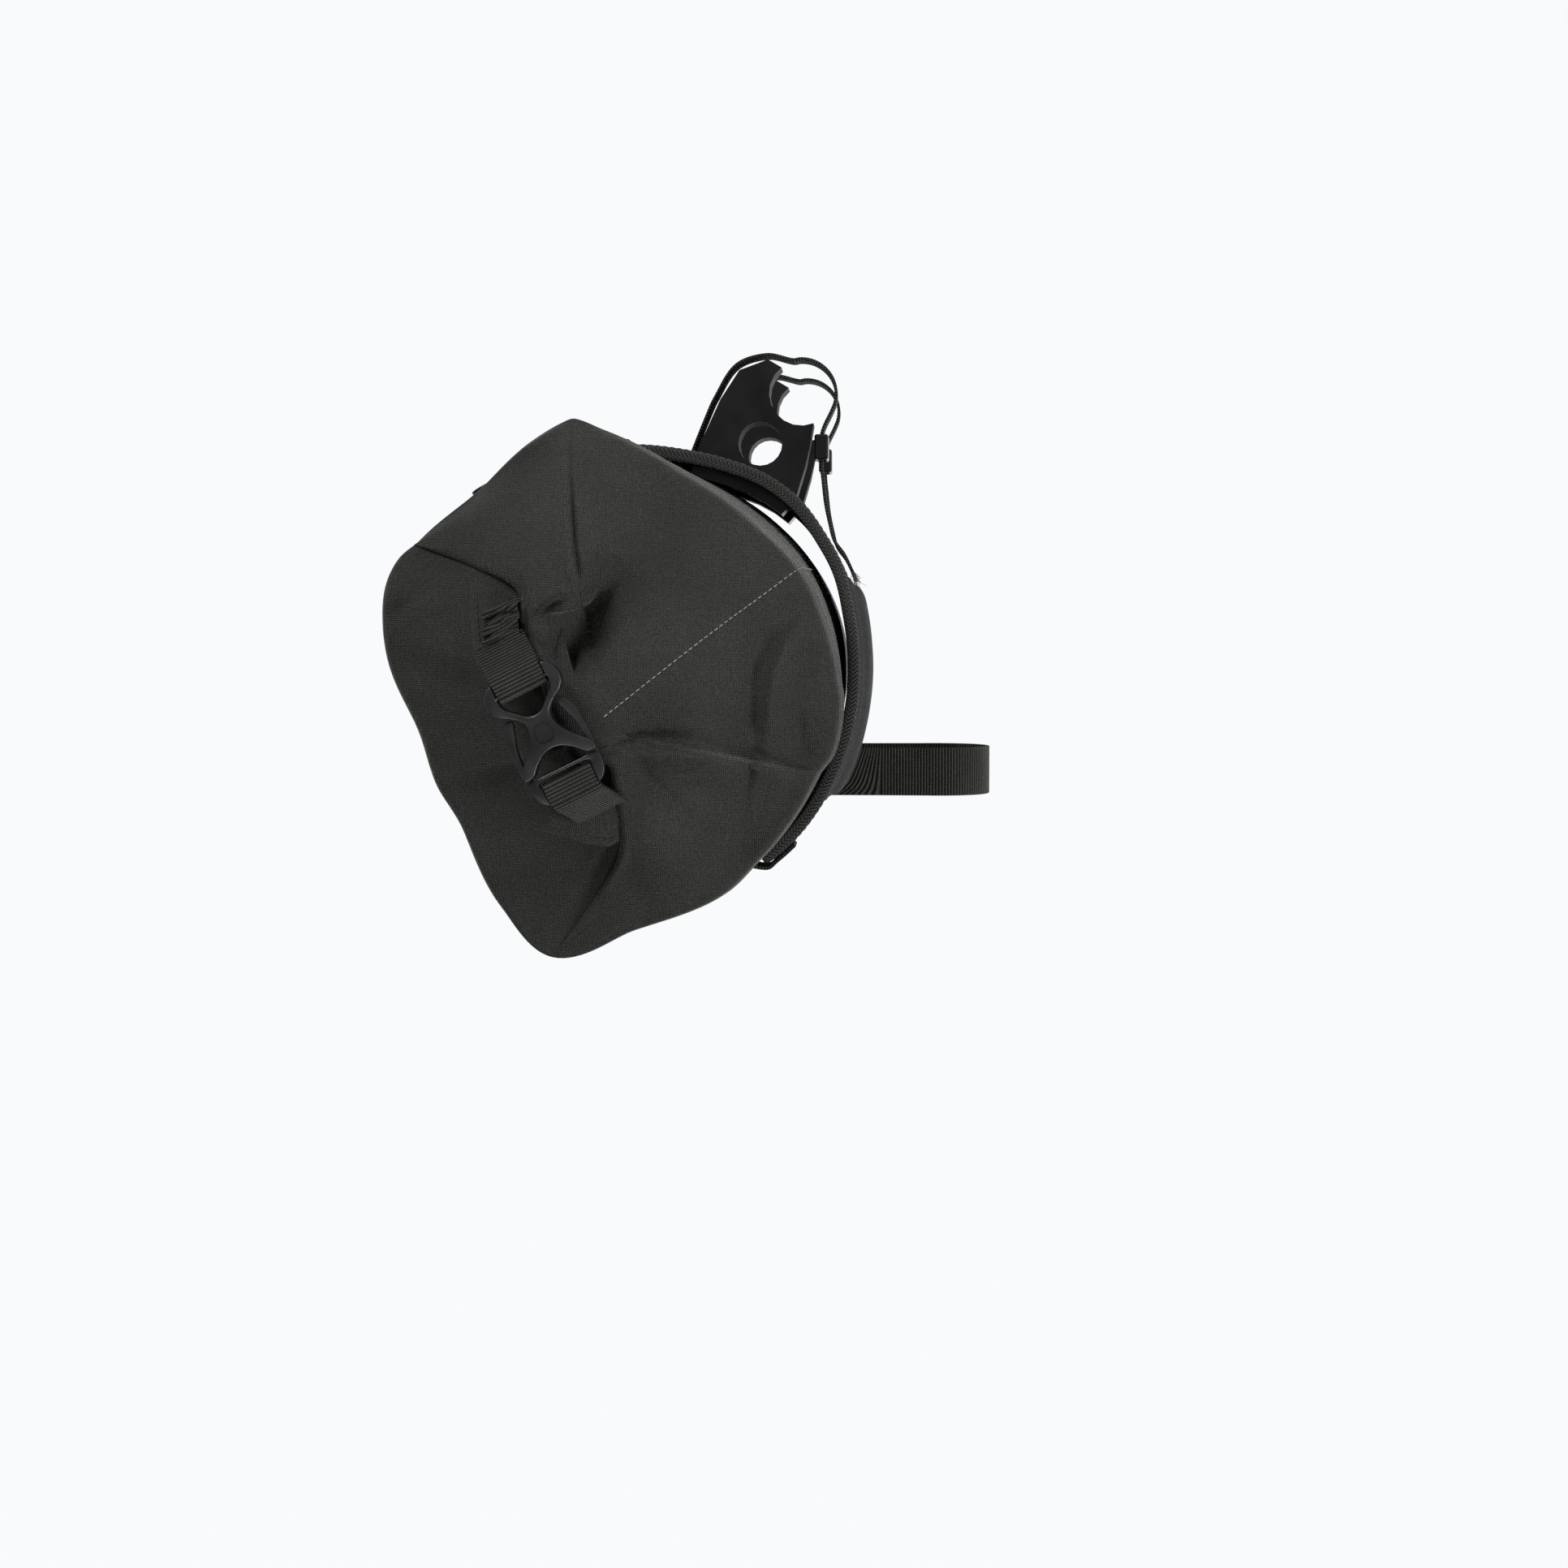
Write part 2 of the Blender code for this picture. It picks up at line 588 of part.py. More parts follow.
def mesh_object(name, points, faces, material, collection, smooth_angle=40.0):
    mesh = bpy.data.meshes.new(name)
    mesh.from_pydata([tuple(p) for p in points], [], [tuple(f) for f in faces])
    worker = bmesh.new()
    worker.from_mesh(mesh)
    bmesh.ops.remove_doubles(worker, verts=worker.verts, dist=1e-6)
    bmesh.ops.recalc_face_normals(worker, faces=worker.faces)
    if worker.calc_volume(signed=True) < 0:
        bmesh.ops.reverse_faces(worker, faces=worker.faces)
    worker.to_mesh(mesh)
    worker.free()
    mesh.shade_smooth()
    mesh.set_sharp_from_angle(angle=math.radians(smooth_angle))
    made = bpy.data.objects.new(name, mesh)
    collection.objects.link(made)
    if material:
        made.data.materials.append(material)
    return made


def zip_edges(first, second, first_at, second_at):
    """Triangles between two lines of points that start and end at the same vertices."""
    faces = []
    i = 0
    j = 0
    while i < len(first) - 1 or j < len(second) - 1:
        step_first = j == len(second) - 1 or (i < len(first) - 1 and first_at[i + 1] <= second_at[j + 1])
        if step_first:
            faces.append((first[i], first[i + 1], second[j]))
            i += 1
        else:
            faces.append((first[i], second[j + 1], second[j]))
            j += 1
    return [face for face in faces if len(set(face)) == 3]


def bag_surface():
    """Points and faces of the whole outer surface, with the folded mouth closed over."""
    over = panel_angles(OVER_PANEL_COLUMNS)
    under = panel_angles(UNDER_PANEL_COLUMNS)
    angles = over + [a - 360 if a > 180 else a for a in reversed(under[1:-1])]
    count = len(angles)
    points = []
    rows = []

    def add_ring(ring):
        rows.append(list(range(len(points), len(points) + count)))
        points.extend(ring)

    for row in reversed(FAR_END):
        y = BAG_LENGTH / 2 + row["dome"] * FAR_DOME
        add_ring([around(a, body_reach(a, 1.0) * row["girth"], y) for a in angles])
    for row in reversed(BODY):
        add_ring([around(a, body_reach(a, row["along"]), along_to_y(row["along"])) for a in angles])
    for t in END_ROWS:
        ring = []
        for i, angle in enumerate(angles):
            share = over_point(angle, t) if i < len(over) else under_point(angle % 360, t)
            ring.append(end_point(*share))
        add_ring(ring)

    faces = []
    for low, high in zip(rows, rows[1:]):
        for i in range(count):
            j = (i + 1) % count
            faces.append((low[i], low[j], high[j], high[i]))
    far_centre = len(points)
    points.append(around(0, 0, BAG_LENGTH / 2 + FAR_DOME))
    for i in range(count):
        faces.append((far_centre, rows[0][(i + 1) % count], rows[0][i]))

    last = rows[-1]
    over_ids = last[: len(over)]
    under_ids = [over_ids[0], *reversed(last[len(over):]), over_ids[-1]]
    over_at = [column(OVER_LINES, "angle", "edge", a) for a in over]
    under_at = [column(UNDER_LINES, "angle", "edge", a) for a in under]
    faces += zip_edges(over_ids, under_ids, over_at, under_at)
    return points, faces


def slit_cutter(collection):
    """Thin slab that opens the mouth between the folded edge and the under layer."""
    steps = 10
    points = []
    for i in range(steps + 1):
        edge = MOUTH_START + (MOUTH_END - MOUTH_START) * i / steps
        fold = end_point(*fold_point(edge))
        tuck = end_point(*tuck_point(edge))
        middle = (fold + tuck) / 2
        outward = Vector((tuck.x - fold.x, 0, tuck.z - fold.z)).normalized()
        lift = Vector((0, -MOUTH_SLIT / 2, 0))
        far = middle + outward * MOUTH_SLIT_OUT
        near = middle - outward * MOUTH_SLIT_IN
        points += [near + lift, far + lift, far - lift, near - lift]
    faces = []
    for i in range(steps):
        for k in range(4):
            a = 4 * i + k
            b = 4 * i + (k + 1) % 4
            faces.append((a, b, b + 4, a + 4))
    faces.append((0, 1, 2, 3))
    faces.append(tuple(4 * steps + k for k in range(4)))
    cutter = mesh_object("mouth_slit_cutter", points, faces, None, collection)
    cutter.hide_render = True
    cutter.display_type = "WIRE"
    return cutter


def make_bag_shell(material, collection, cutters):
    points, faces = bag_surface()
    shell = mesh_object("bag_shell", points, faces, material, collection)
    wall = shell.modifiers.new("fabric_wall", "SOLIDIFY")
    wall.thickness = FABRIC_THICKNESS
    wall.offset = -1.0
    opening = shell.modifiers.new("mouth_slit", "BOOLEAN")
    opening.operation = "DIFFERENCE"
    opening.solver = "EXACT"
    opening.object = slit_cutter(cutters)
    return shell


def sweep(name, sections, material, collection, closed=False):
    """Closed solid through matching sections, capped unless it runs round a loop."""
    count = len(sections[0])
    points = [p for section in sections for p in section]
    faces = []
    spans = len(sections) if closed else len(sections) - 1
    for i in range(spans):
        j = (i + 1) % len(sections)
        for k in range(count):
            m = (k + 1) % count
            faces.append((i * count + k, i * count + m, j * count + m, j * count + k))
    if not closed:
        faces.append(tuple(range(count)))
        faces.append(tuple((len(sections) - 1) * count + k for k in range(count)))
    return mesh_object(name, points, faces, material, collection)


def strap_along(name, path, side, width, thickness, material, collection, closed=False):
    """Flat strap whose middle line follows the path, with its width along one fixed direction."""
    sections = []
    last = len(path) - 1
    for i, point in enumerate(path):
        before = path[(i - 1) % len(path)] if closed else path[max(i - 1, 0)]
        after = path[(i + 1) % len(path)] if closed else path[min(i + 1, last)]
        run = (after - before).normalized()
        face = run.cross(side).normalized() * (thickness / 2)
        half = side.normalized() * (width / 2)
        sections.append([point + half + face, point - half + face, point - half - face, point + half - face])
    return sweep(name, sections, material, collection, closed)


def harness_reach(angle):
    return column(HARNESS, "angle", "reach", angle) * BAG_RADIUS


def harness_angles():
    return [HARNESS_TOP + (HARNESS_BOTTOM - HARNESS_TOP) * i / HARNESS_STEPS for i in range(HARNESS_STEPS + 1)]


def make_harness(panel_material, binding_material, collection):
    """Curved back panel and the tape that wraps its whole edge."""
    half = HARNESS_WIDTH / 2
    angles = harness_angles()
    edge = BINDING_WALL + GAP
    ends = math.degrees(edge / BAG_RADIUS)
    panel = []
    for i, angle in enumerate(angles):
        at = angle + (ends if i == len(angles) - 1 else -ends if i == 0 else 0)
        outer = harness_reach(at)
        inner = outer - HARNESS_THICKNESS
        panel.append([
            around(at, outer, -half + edge),
            around(at, outer, half - edge),
            around(at, inner, half - edge),
            around(at, inner, -half + edge),
        ])
    sweep("harness_panel", panel, panel_material, collection)

    sections = []

    def channel(angle, y, inward):
        """U section of the tape: it stands outside both faces and runs in from the edge."""
        outer = harness_reach(min(max(angle, HARNESS_BOTTOM), HARNESS_TOP))
        depths = [
            (0.0, outer + GAP + BINDING_WALL),
            (BINDING_WIDTH, outer + GAP + BINDING_WALL),
            (BINDING_WIDTH, outer + GAP),
            (BINDING_WALL, outer + GAP),
            (BINDING_WALL, outer - HARNESS_THICKNESS - GAP),
            (BINDING_WIDTH, outer - HARNESS_THICKNESS - GAP),
            (BINDING_WIDTH, outer - HARNESS_THICKNESS - GAP - BINDING_WALL),
            (0.0, outer - HARNESS_THICKNESS - GAP - BINDING_WALL),
        ]
        turn_in, y_in = inward
        return [
            around(angle + turn_in * math.degrees(run / BAG_RADIUS), reach, y + y_in * run)
            for run, reach in depths
        ]

    for angle in angles[1:-1]:
        sections.append(channel(angle, -half, (0, 1)))
    sections.append(channel(HARNESS_BOTTOM, -half, (1, 1)))
    for share in (-0.6, 0.6):
        sections.append(channel(HARNESS_BOTTOM, half * share, (1, 0)))
    sections.append(channel(HARNESS_BOTTOM, half, (1, -1)))
    for angle in reversed(angles[1:-1]):
        sections.append(channel(angle, half, (0, -1)))
    sections.append(channel(HARNESS_TOP, half, (-1, -1)))
    for share in (0.6, -0.6):
        sections.append(channel(HARNESS_TOP, half * share, (-1, 0)))
    sections.append(channel(HARNESS_TOP, -half, (-1, 1)))
    sweep("harness_binding", sections, binding_material, collection, closed=True)


def make_back_pad(material, collection):
    """Padded block sewn to the back of the harness, thinned to a bound edge all round."""
    sections = []
    for i in range(PAD_STEPS + 1):
        angle = PAD_TOP + (PAD_BOTTOM - PAD_TOP) * i / PAD_STEPS
        ends = min(max(i / PAD_STEPS, PAD_EDGE_SHARE), 1 - PAD_EDGE_SHARE)
        rise = max(math.sin(math.pi * ends) ** PAD_ROUNDING, PAD_EDGE)
        base = harness_reach(angle) + FACET_GAP
        ring = []
        for row in PAD_PROFILE:
            ring.append(around(angle, base + PAD_THICKNESS * row["full"] * rise, row["aside"] * PAD_WIDTH))
        ring.append(around(angle, base, PAD_WIDTH / 2))
        ring.append(around(angle, base, -PAD_WIDTH / 2))
        sections.append(ring)
    sweep("back_pad", sections, material, collection)


def strap_rest(angle, y):
    """Radius at which a strap lies on the bag, over its own width."""
    along = y / BAG_LENGTH + 0.5
    half = WEBBING_WIDTH / 2 / BAG_LENGTH
    return max(body_reach(angle, along + shift) for shift in (-half, 0.0, half))


def compression_line(y):
    """Line of a compression strap from the harness top over the front to the harness bottom."""
    lift = WEBBING_THICKNESS / 2
    sewn = 2 * FACET_GAP + BINDING_WALL + lift
    top = [around(HARNESS_TOP - a, harness_reach(HARNESS_TOP - a) + sewn, y) for a in (9, 5, 0)]
    bottom = [around(HARNESS_BOTTOM + a, harness_reach(HARNESS_BOTTOM + a) + sewn, y) for a in (0, 5, 9)]
    over = panel_angles(OVER_PANEL_COLUMNS)
    under = panel_angles(UNDER_PANEL_COLUMNS)
    front = {a for a in over if a > HARNESS_TOP + 5} | set(under)
    front |= {a + 360 for a in over if a < HARNESS_BOTTOM - 5}
    rest = [around(angle, strap_rest(angle, y) + FACET_GAP + lift, y) for angle in sorted(front)]
    return top + rest + bottom


def make_compression_strap(name, y, webbing, plastic, collection):
    """Strap over the front of the bag, with its small side release buckle on the upper front."""
    path = compression_line(y)
    strap_along(f"{name}_webbing", path, Vector((0, 1, 0)), WEBBING_WIDTH, WEBBING_THICKNESS, webbing, collection)

    turn = math.radians(STRAP_BUCKLE_ANGLE)
    up = Vector((math.cos(turn), 0, math.sin(turn)))
    run = Vector((-math.sin(turn), 0, math.cos(turn)))
    side = Vector((0, 1, 0))
    axis = around(STRAP_BUCKLE_ANGLE, 0, y)
    strap = [p for p in compression_line(y) if abs((p - axis).dot(run)) < STRAP_BUCKLE_LENGTH * 0.6]
    rest = max((p - axis).dot(up) for p in strap) + WEBBING_THICKNESS / 2 + FACET_GAP
    base = axis + up * rest
    for half in STRAP_BUCKLE_HALVES:
        corners = []
        for corner in STRAP_BUCKLE_CORNERS:
            share = half["start"] + (half["end"] - half["start"]) * corner["along"]
            corners.append((share * STRAP_BUCKLE_LENGTH / 2, corner["aside"] * STRAP_BUCKLE_WIDTH / 2))
        outline = [base + run * along + side * aside for along, aside in corners]
        outline += [base + run * along - side * aside for along, aside in reversed(corners)]
        thick = STRAP_BUCKLE_THICKNESS * half["thick"]
        shoulder = [p + up * thick * STRAP_BUCKLE_SHOULDER for p in outline]
        middle = sum(outline, Vector()) / len(outline)
        crown = [middle + (p - middle) * STRAP_BUCKLE_CROWN + up * thick for p in outline]
        sweep(f"{name}_{half['piece']}", [outline, shoulder, crown], plastic, collection)


def closure_frame(along, aside, height):
    """Point of the mouth buckle from metres along and aside its own axis and above its base plane."""
    turn = math.radians(BUCKLE_ANGLE)
    down = Vector((math.sin(turn), 0, -math.cos(turn)))
    right = Vector((math.cos(turn), 0, math.sin(turn)))
    base = Vector((BUCKLE_SIDE - BAG_REACH, -BAG_LENGTH / 2 - END_HEIGHT - BUCKLE_LIFT, -BUCKLE_DROP - BAG_DROP))
    return base + down * along + right * aside + Vector((0, -height, 0))


def closure_matrix():
    """World matrix whose X runs down the buckle, Y to its right side and Z toward the rider's left."""
    origin = closure_frame(0, 0, 0)
    x_axis = closure_frame(1, 0, 0) - origin
    z_axis = closure_frame(0, 0, 1) - origin
    y_axis = z_axis.cross(x_axis)
    matrix = Matrix((x_axis, y_axis, z_axis)).transposed().to_4x4()
    matrix.translation = origin
    return matrix


def flat_curve(name, outlines, thickness, bevel, collection):
    """Extruded plate from a filled outline and its holes, in its own XY plane."""
    curve = bpy.data.curves.new(name, "CURVE")
    curve.dimensions = "2D"
    curve.fill_mode = "BOTH"
    curve.extrude = thickness / 2
    curve.resolution_u = 2
    curve.render_resolution_u = 0
    for outline in outlines:
        spline = curve.splines.new("POLY")
        spline.points.add(len(outline) - 1)
        for point, (x, y) in zip(spline.points, outline):
            point.co = (x, y, 0, 1)
        spline.use_cyclic_u = True
    holder = bpy.data.objects.new(name, curve)
    collection.objects.link(holder)
    mesh = bpy.data.meshes.new_from_object(holder)
    bpy.data.objects.remove(holder, do_unlink=True)
    worker = bmesh.new()
    worker.from_mesh(mesh)
    bmesh.ops.remove_doubles(worker, verts=worker.verts, dist=1e-6)
    bmesh.ops.recalc_face_normals(worker, faces=worker.faces)
    worker.to_mesh(mesh)
    worker.free()
    made = bpy.data.objects.new(name, mesh)
    collection.objects.link(made)
    if bevel:
        rounding = made.modifiers.new("rounded_edges", "BEVEL")
        rounding.width = bevel
        rounding.segments = 1
        rounding.limit_method = "ANGLE"
        rounding.angle_limit = math.radians(60)
    return made


def mirrored_outline(rows, length, width):
    half = [(row["along"] * length, row["aside"] * width) for row in rows]
    other = [(x, -y) for x, y in reversed(half) if abs(y) > 1e-9]
    return half + other


def place(made, matrix, material):
    made.matrix_world = matrix
    made.data.materials.clear()
    made.data.materials.append(material)
    made.data.shade_smooth()
    made.data.set_sharp_from_angle(angle=math.radians(35))


def union(base, other):
    """Join a second solid into the first and keep one mesh."""
    joined = base.modifiers.new("joined", "BOOLEAN")
    joined.operation = "UNION"
    joined.solver = "EXACT"
    joined.object = other
    graph = bpy.context.evaluated_depsgraph_get()
    mesh = bpy.data.meshes.new_from_object(base.evaluated_get(graph), depsgraph=graph)
    base.modifiers.clear()
    base.data = mesh
    bpy.data.objects.remove(other, do_unlink=True)
    return base


def prong_outline(sign, half):
    """Outline of one sprung prong, half its width to each side of its path."""
    middle = [(row["along"] * BUCKLE_LENGTH, sign * row["aside"] * BUCKLE_WIDTH) for row in PRONG_PATH]
    left = []
    right = []
    for i, (x, y) in enumerate(middle):
        before = middle[max(i - 1, 0)]
        after = middle[min(i + 1, len(middle) - 1)]
        run = Vector((after[0] - before[0], after[1] - before[1])).normalized()
        reach = run * (half - PRONG_WIDTH / 2) * (1 if i == len(middle) - 1 else -1 if i == 0 else 0)
        left.append((x - run.y * half + reach.x, y + run.x * half + reach.y))
        right.append((x + run.y * half + reach.x, y - run.x * half + reach.y))
    return left + list(reversed(right))


def cut_away(target, cutter):
    cutter.hide_render = True
    cutter.display_type = "WIRE"
    cut = target.modifiers.new(cutter.name, "BOOLEAN")
    cut.operation = "DIFFERENCE"
    cut.solver = "EXACT"
    cut.object = cutter


def thin_bar(target, name, start, end, cutters):
    """Recess above and below a webbing bar, so that the webbing lies inside the frame."""
    half = BUCKLE_WIDTH * 0.338
    outline = [(start, -half), (end, -half), (end, half), (start, half)]
    for side, sign in (("top", 1), ("base", -1)):
        recess = flat_curve(f"{name}_recess_{side}", [outline], SOCKET_THICKNESS, 0.0, cutters)
        lift = sign * (BUCKLE_BAR_THICKNESS + SOCKET_THICKNESS) / 2
        recess.matrix_world = closure_matrix() @ Matrix.Translation((0, 0, lift))
        cut_away(target, recess)


def make_mouth_buckle(plastic, collection, cutters):
    """Socket with its webbing bar and waist, and plug whose two sprung prongs run through the socket."""
    outline = mirrored_outline(SOCKET_OUTLINE, BUCKLE_LENGTH, BUCKLE_WIDTH)
    window = mirrored_outline(SOCKET_WINDOW, BUCKLE_LENGTH, BUCKLE_WIDTH)
    socket = flat_curve("buckle_socket", [outline, window], SOCKET_THICKNESS, 0.0011, collection)
    place(socket, closure_matrix(), plastic)
    for sign, side in ((1, "right"), (-1, "left")):
        room = flat_curve(
            f"prong_room_{side}", [prong_outline(sign, PRONG_WIDTH / 2 + 2 * GAP)],
            PRONG_THICKNESS + 4 * GAP, 0.0, cutters,
        )
        room.matrix_world = closure_matrix()
        cut_away(socket, room)
    thin_bar(socket, "socket_bar", -0.54 * BUCKLE_LENGTH, -0.395 * BUCKLE_LENGTH, cutters)

    outline = mirrored_outline(PLUG_OUTLINE, BUCKLE_LENGTH, BUCKLE_WIDTH)
    window = mirrored_outline(PLUG_WINDOW, BUCKLE_LENGTH, BUCKLE_WIDTH)
    plug = flat_curve("buckle_plug", [outline, window], PLUG_THICKNESS, 0.0, collection)
    for sign in (1, -1):
        prong = flat_curve("prong", [prong_outline(sign, PRONG_WIDTH / 2)], PRONG_THICKNESS, 0.0, collection)
        union(plug, prong)
    place(plug, closure_matrix(), plastic)
    thin_bar(plug, "plug_bar", 0.36 * BUCKLE_LENGTH, 0.54 * BUCKLE_LENGTH, cutters)


def webbing_loop(name, bar, far, skew, drop, start, material, collection):
    """Webbing folded round a bar of the buckle, both layers running on to its closure strip."""
    direction = 1 if far > bar[0] else -1
    middle = WEBBING_THICKNESS / 2
    layer = BUCKLE_BAR_THICKNESS / 2 + 2 * GAP + middle
    turn_at = bar[0] - direction * 2 * GAP
    close = middle + 2 * GAP
    path = [*start]
    path += [
        (far, skew, close - drop),
        ((far + bar[1]) / 2, skew * 0.5, (close + layer - drop) / 2),
        (bar[1], 0.0, layer),
        (turn_at, 0.0, layer),
    ]
    for turn in (50, 0, -50):
        angle = math.radians(turn)
        path.append((turn_at - direction * layer * math.cos(angle) * 0.7, 0.0, layer * math.sin(angle)))
    path += [
        (turn_at, 0.0, -layer),
        (bar[1], 0.0, -layer),
        ((far + bar[1]) / 2, skew * 0.5, (-close - layer - drop) / 2),
        (far, skew, -close - drop),
    ]
    sections = []
    for i, (along, aside, height) in enumerate(path):
        before = path[max(i - 1, 0)]
        after = path[min(i + 1, len(path) - 1)]
        run = Vector((after[0] - before[0], 0, after[2] - before[2])).normalized()
        out = Vector((-run.z, 0, run.x)) * middle
        half = MOUTH_WEBBING_WIDTH / 2 * (GATHER_WIDTH if i < len(start) else 1.0)
        ring = []
        for side, sign in ((half, 1), (-half, 1), (-half, -1), (half, -1)):
            ring.append(closure_frame(along + sign * out.x, aside + side, height + sign * out.z))
        sections.append(ring)
    sweep(name, sections, material, collection)


def strip_end(name, rows, material, collection):
    """Flat stiff strip through rows that each give its two edges."""
    sections = []
    lift = Vector((0, -STRIP_THICKNESS / 2, 0))
    for row in rows:
        left = end_point(*row["left"])
        right = end_point(*row["right"])
        sections.append([left + lift, right + lift, right - lift, left - lift])
    sweep(name, sections, material, collection)


def make_closure(fabric, webbing, collection):
    """Two ends of the mouth's stiff strip, and the webbing that joins each to the buckle."""
    strip_end("closure_strip_upper", UPPER_STRIP, fabric, collection)
    strip_end("closure_strip_lower", LOWER_STRIP, fabric, collection)
    socket_bar = (-0.405 * BUCKLE_LENGTH, -0.510 * BUCKLE_LENGTH)
    plug_bar = (0.385 * BUCKLE_LENGTH, 0.510 * BUCKLE_LENGTH)
    gather = [tuple(row[key] * BUCKLE_LENGTH for key in ("along", "aside", "height")) for row in GATHER]
    webbing_loop(
        "webbing_upper", socket_bar, -UPPER_WEBBING_REACH, -0.0015, UPPER_WEBBING_DIP, gather, webbing, collection,
    )
    webbing_loop(
        "webbing_lower", plug_bar, LOWER_WEBBING_REACH, 0.0020, LOWER_WEBBING_DIP, [], webbing, collection,
    )


def spacer_outline():
    radius = HANDLEBAR_DIAMETER / 2
    rows = [(row["back"] * radius, row["up"] * radius) for row in SPACER_FRONT]
    steps = 9
    for i in range(steps + 1):
        turn = math.radians(SADDLE_FROM + (SADDLE_TO - SADDLE_FROM) * i / steps)
        reach = radius + GAP
        rows.append((reach * math.cos(turn), reach * math.sin(turn)))
    rows += [(row["back"] * radius, row["up"] * radius) for row in SPACER_BACK]
    steps = 5
    for i in range(steps + 1):
        angle = SPACER_FOOT_BACK + (SPACER_FOOT_FRONT - SPACER_FOOT_BACK) * i / steps
        foot = around(angle, harness_reach(angle) + FACET_GAP * 2, 0)
        rows.append((foot.x, foot.z))
    return rows


def make_spacer(name, y, plastic, collection):
    """Plastic block between the harness and the handlebar, with a round hole through it."""
    hole = []
    for i in range(20):
        turn = 2 * math.pi * i / 20
        hole.append((
            SPACER_HOLE_DIAMETER / 2 * math.cos(turn) - SPACER_HOLE_FORWARD,
            SPACER_HOLE_DIAMETER / 2 * math.sin(turn) - SPACER_HOLE_DROP,
        ))
    spacer = flat_curve(name, [spacer_outline(), hole], SPACER_WIDTH, 0.0, collection)
    matrix = Matrix(((1, 0, 0), (0, 0, -1), (0, 1, 0))).to_4x4()
    matrix.translation = Vector((0, y, 0))
    place(spacer, matrix, plastic)

    angles = [SPACER_FOOT_BACK + (SPACER_FOOT_FRONT - SPACER_FOOT_BACK) * i / 5 for i in range(6)]
    sections = []
    for angle in angles:
        outer = harness_reach(angle) - HARNESS_THICKNESS - GAP - FACET_GAP
        inner = max(outer - BACK_PLATE_THICKNESS, body_reach(angle, y / BAG_LENGTH + 0.5) + BACK_PLATE_REST)
        half = SPACER_WIDTH / 2
        sections.append([
            around(angle, outer, y - half),
            around(angle, outer, y + half),
            around(angle, inner, y + half),
            around(angle, inner, y - half),
        ])
    sweep(f"{name}_back_plate", sections, plastic, collection)


def make_bar_strap(name, y, webbing, plastic, collection):
    """Strap from the harness over the handlebar, through a ladder lock, with its tail hanging behind."""
    radius = HANDLEBAR_DIAMETER / 2
    path = [around(BAR_STRAP_FOOT, harness_reach(BAR_STRAP_FOOT) + FACET_GAP, y)]
    path += [Vector((row["back"] * radius, y, row["up"] * radius)) for row in BAR_STRAP_FRONT]
    reach = radius + GAP * 2 + WEBBING_THICKNESS / 2
    for turn in (104, 82, 60, 38, 16, -6, -28):
        angle = math.radians(turn)
        path.append(Vector((reach * math.cos(angle), y, reach * math.sin(angle))))
    path += [Vector((row["back"] * radius, y, row["up"] * radius)) for row in BAR_STRAP_TAIL]
    strap_along(name, path, Vector((0, 1, 0)), BAR_STRAP_WIDTH, WEBBING_THICKNESS, webbing, collection)

    centre = Vector((LOCK_PLACE["back"] * radius, y, LOCK_PLACE["up"] * radius))
    slot_depth = WEBBING_THICKNESS + 4 * GAP
    slot_width = BAR_STRAP_WIDTH + 4 * GAP
    frame = [(-LOCK_DEPTH / 2, -LOCK_WIDTH / 2), (LOCK_DEPTH / 2, -LOCK_WIDTH / 2)]
    frame += [(LOCK_DEPTH / 2, LOCK_WIDTH / 2), (-LOCK_DEPTH / 2, LOCK_WIDTH / 2)]
    slot = [(-slot_depth / 2, -slot_width / 2), (slot_depth / 2, -slot_width / 2)]
    slot += [(slot_depth / 2, slot_width / 2), (-slot_depth / 2, slot_width / 2)]
    lock = flat_curve(f"{name}_lock", [frame, slot], LOCK_HEIGHT, 0.0008, collection)
    place(lock, Matrix.Translation(centre), plastic)


def make_tube_strap(webbing, collection):
    """Webbing from the back pad round the head tube and back again, its ends cut to the pad's curve."""
    start = TUBE_STRAP_START - BAG_REACH
    centre = TUBE_CENTRE_BACK - BAG_REACH
    level = -BAG_DROP - TUBE_STRAP_LOW
    path = [(start, -TUBE_STRAP_SPREAD)]
    for turn in range(-105, 106, 21):
        angle = math.radians(turn)
        path.append((centre + TUBE_LOOP_RADIUS * math.cos(angle), TUBE_LOOP_RADIUS * math.sin(angle)))
    path.append((start, TUBE_STRAP_SPREAD))
    sections = []
    last = len(path) - 1
    for i, (x, y) in enumerate(path):
        before = path[max(i - 1, 0)]
        after = path[min(i + 1, last)]
        run = Vector((after[0] - before[0], after[1] - before[1], 0)).normalized()
        out = Vector((run.y, -run.x, 0)) * (WEBBING_THICKNESS / 2)
        slant = TUBE_STRAP_SLANT if i in (0, last) else 0.0
        top = Vector((x, y, level + TUBE_STRAP_HEIGHT / 2))
        base = Vector((x - slant, y, level - TUBE_STRAP_HEIGHT / 2))
        sections.append([top + out, top - out, base - out, base + out])
    sweep("head_tube_strap", sections, webbing, collection)


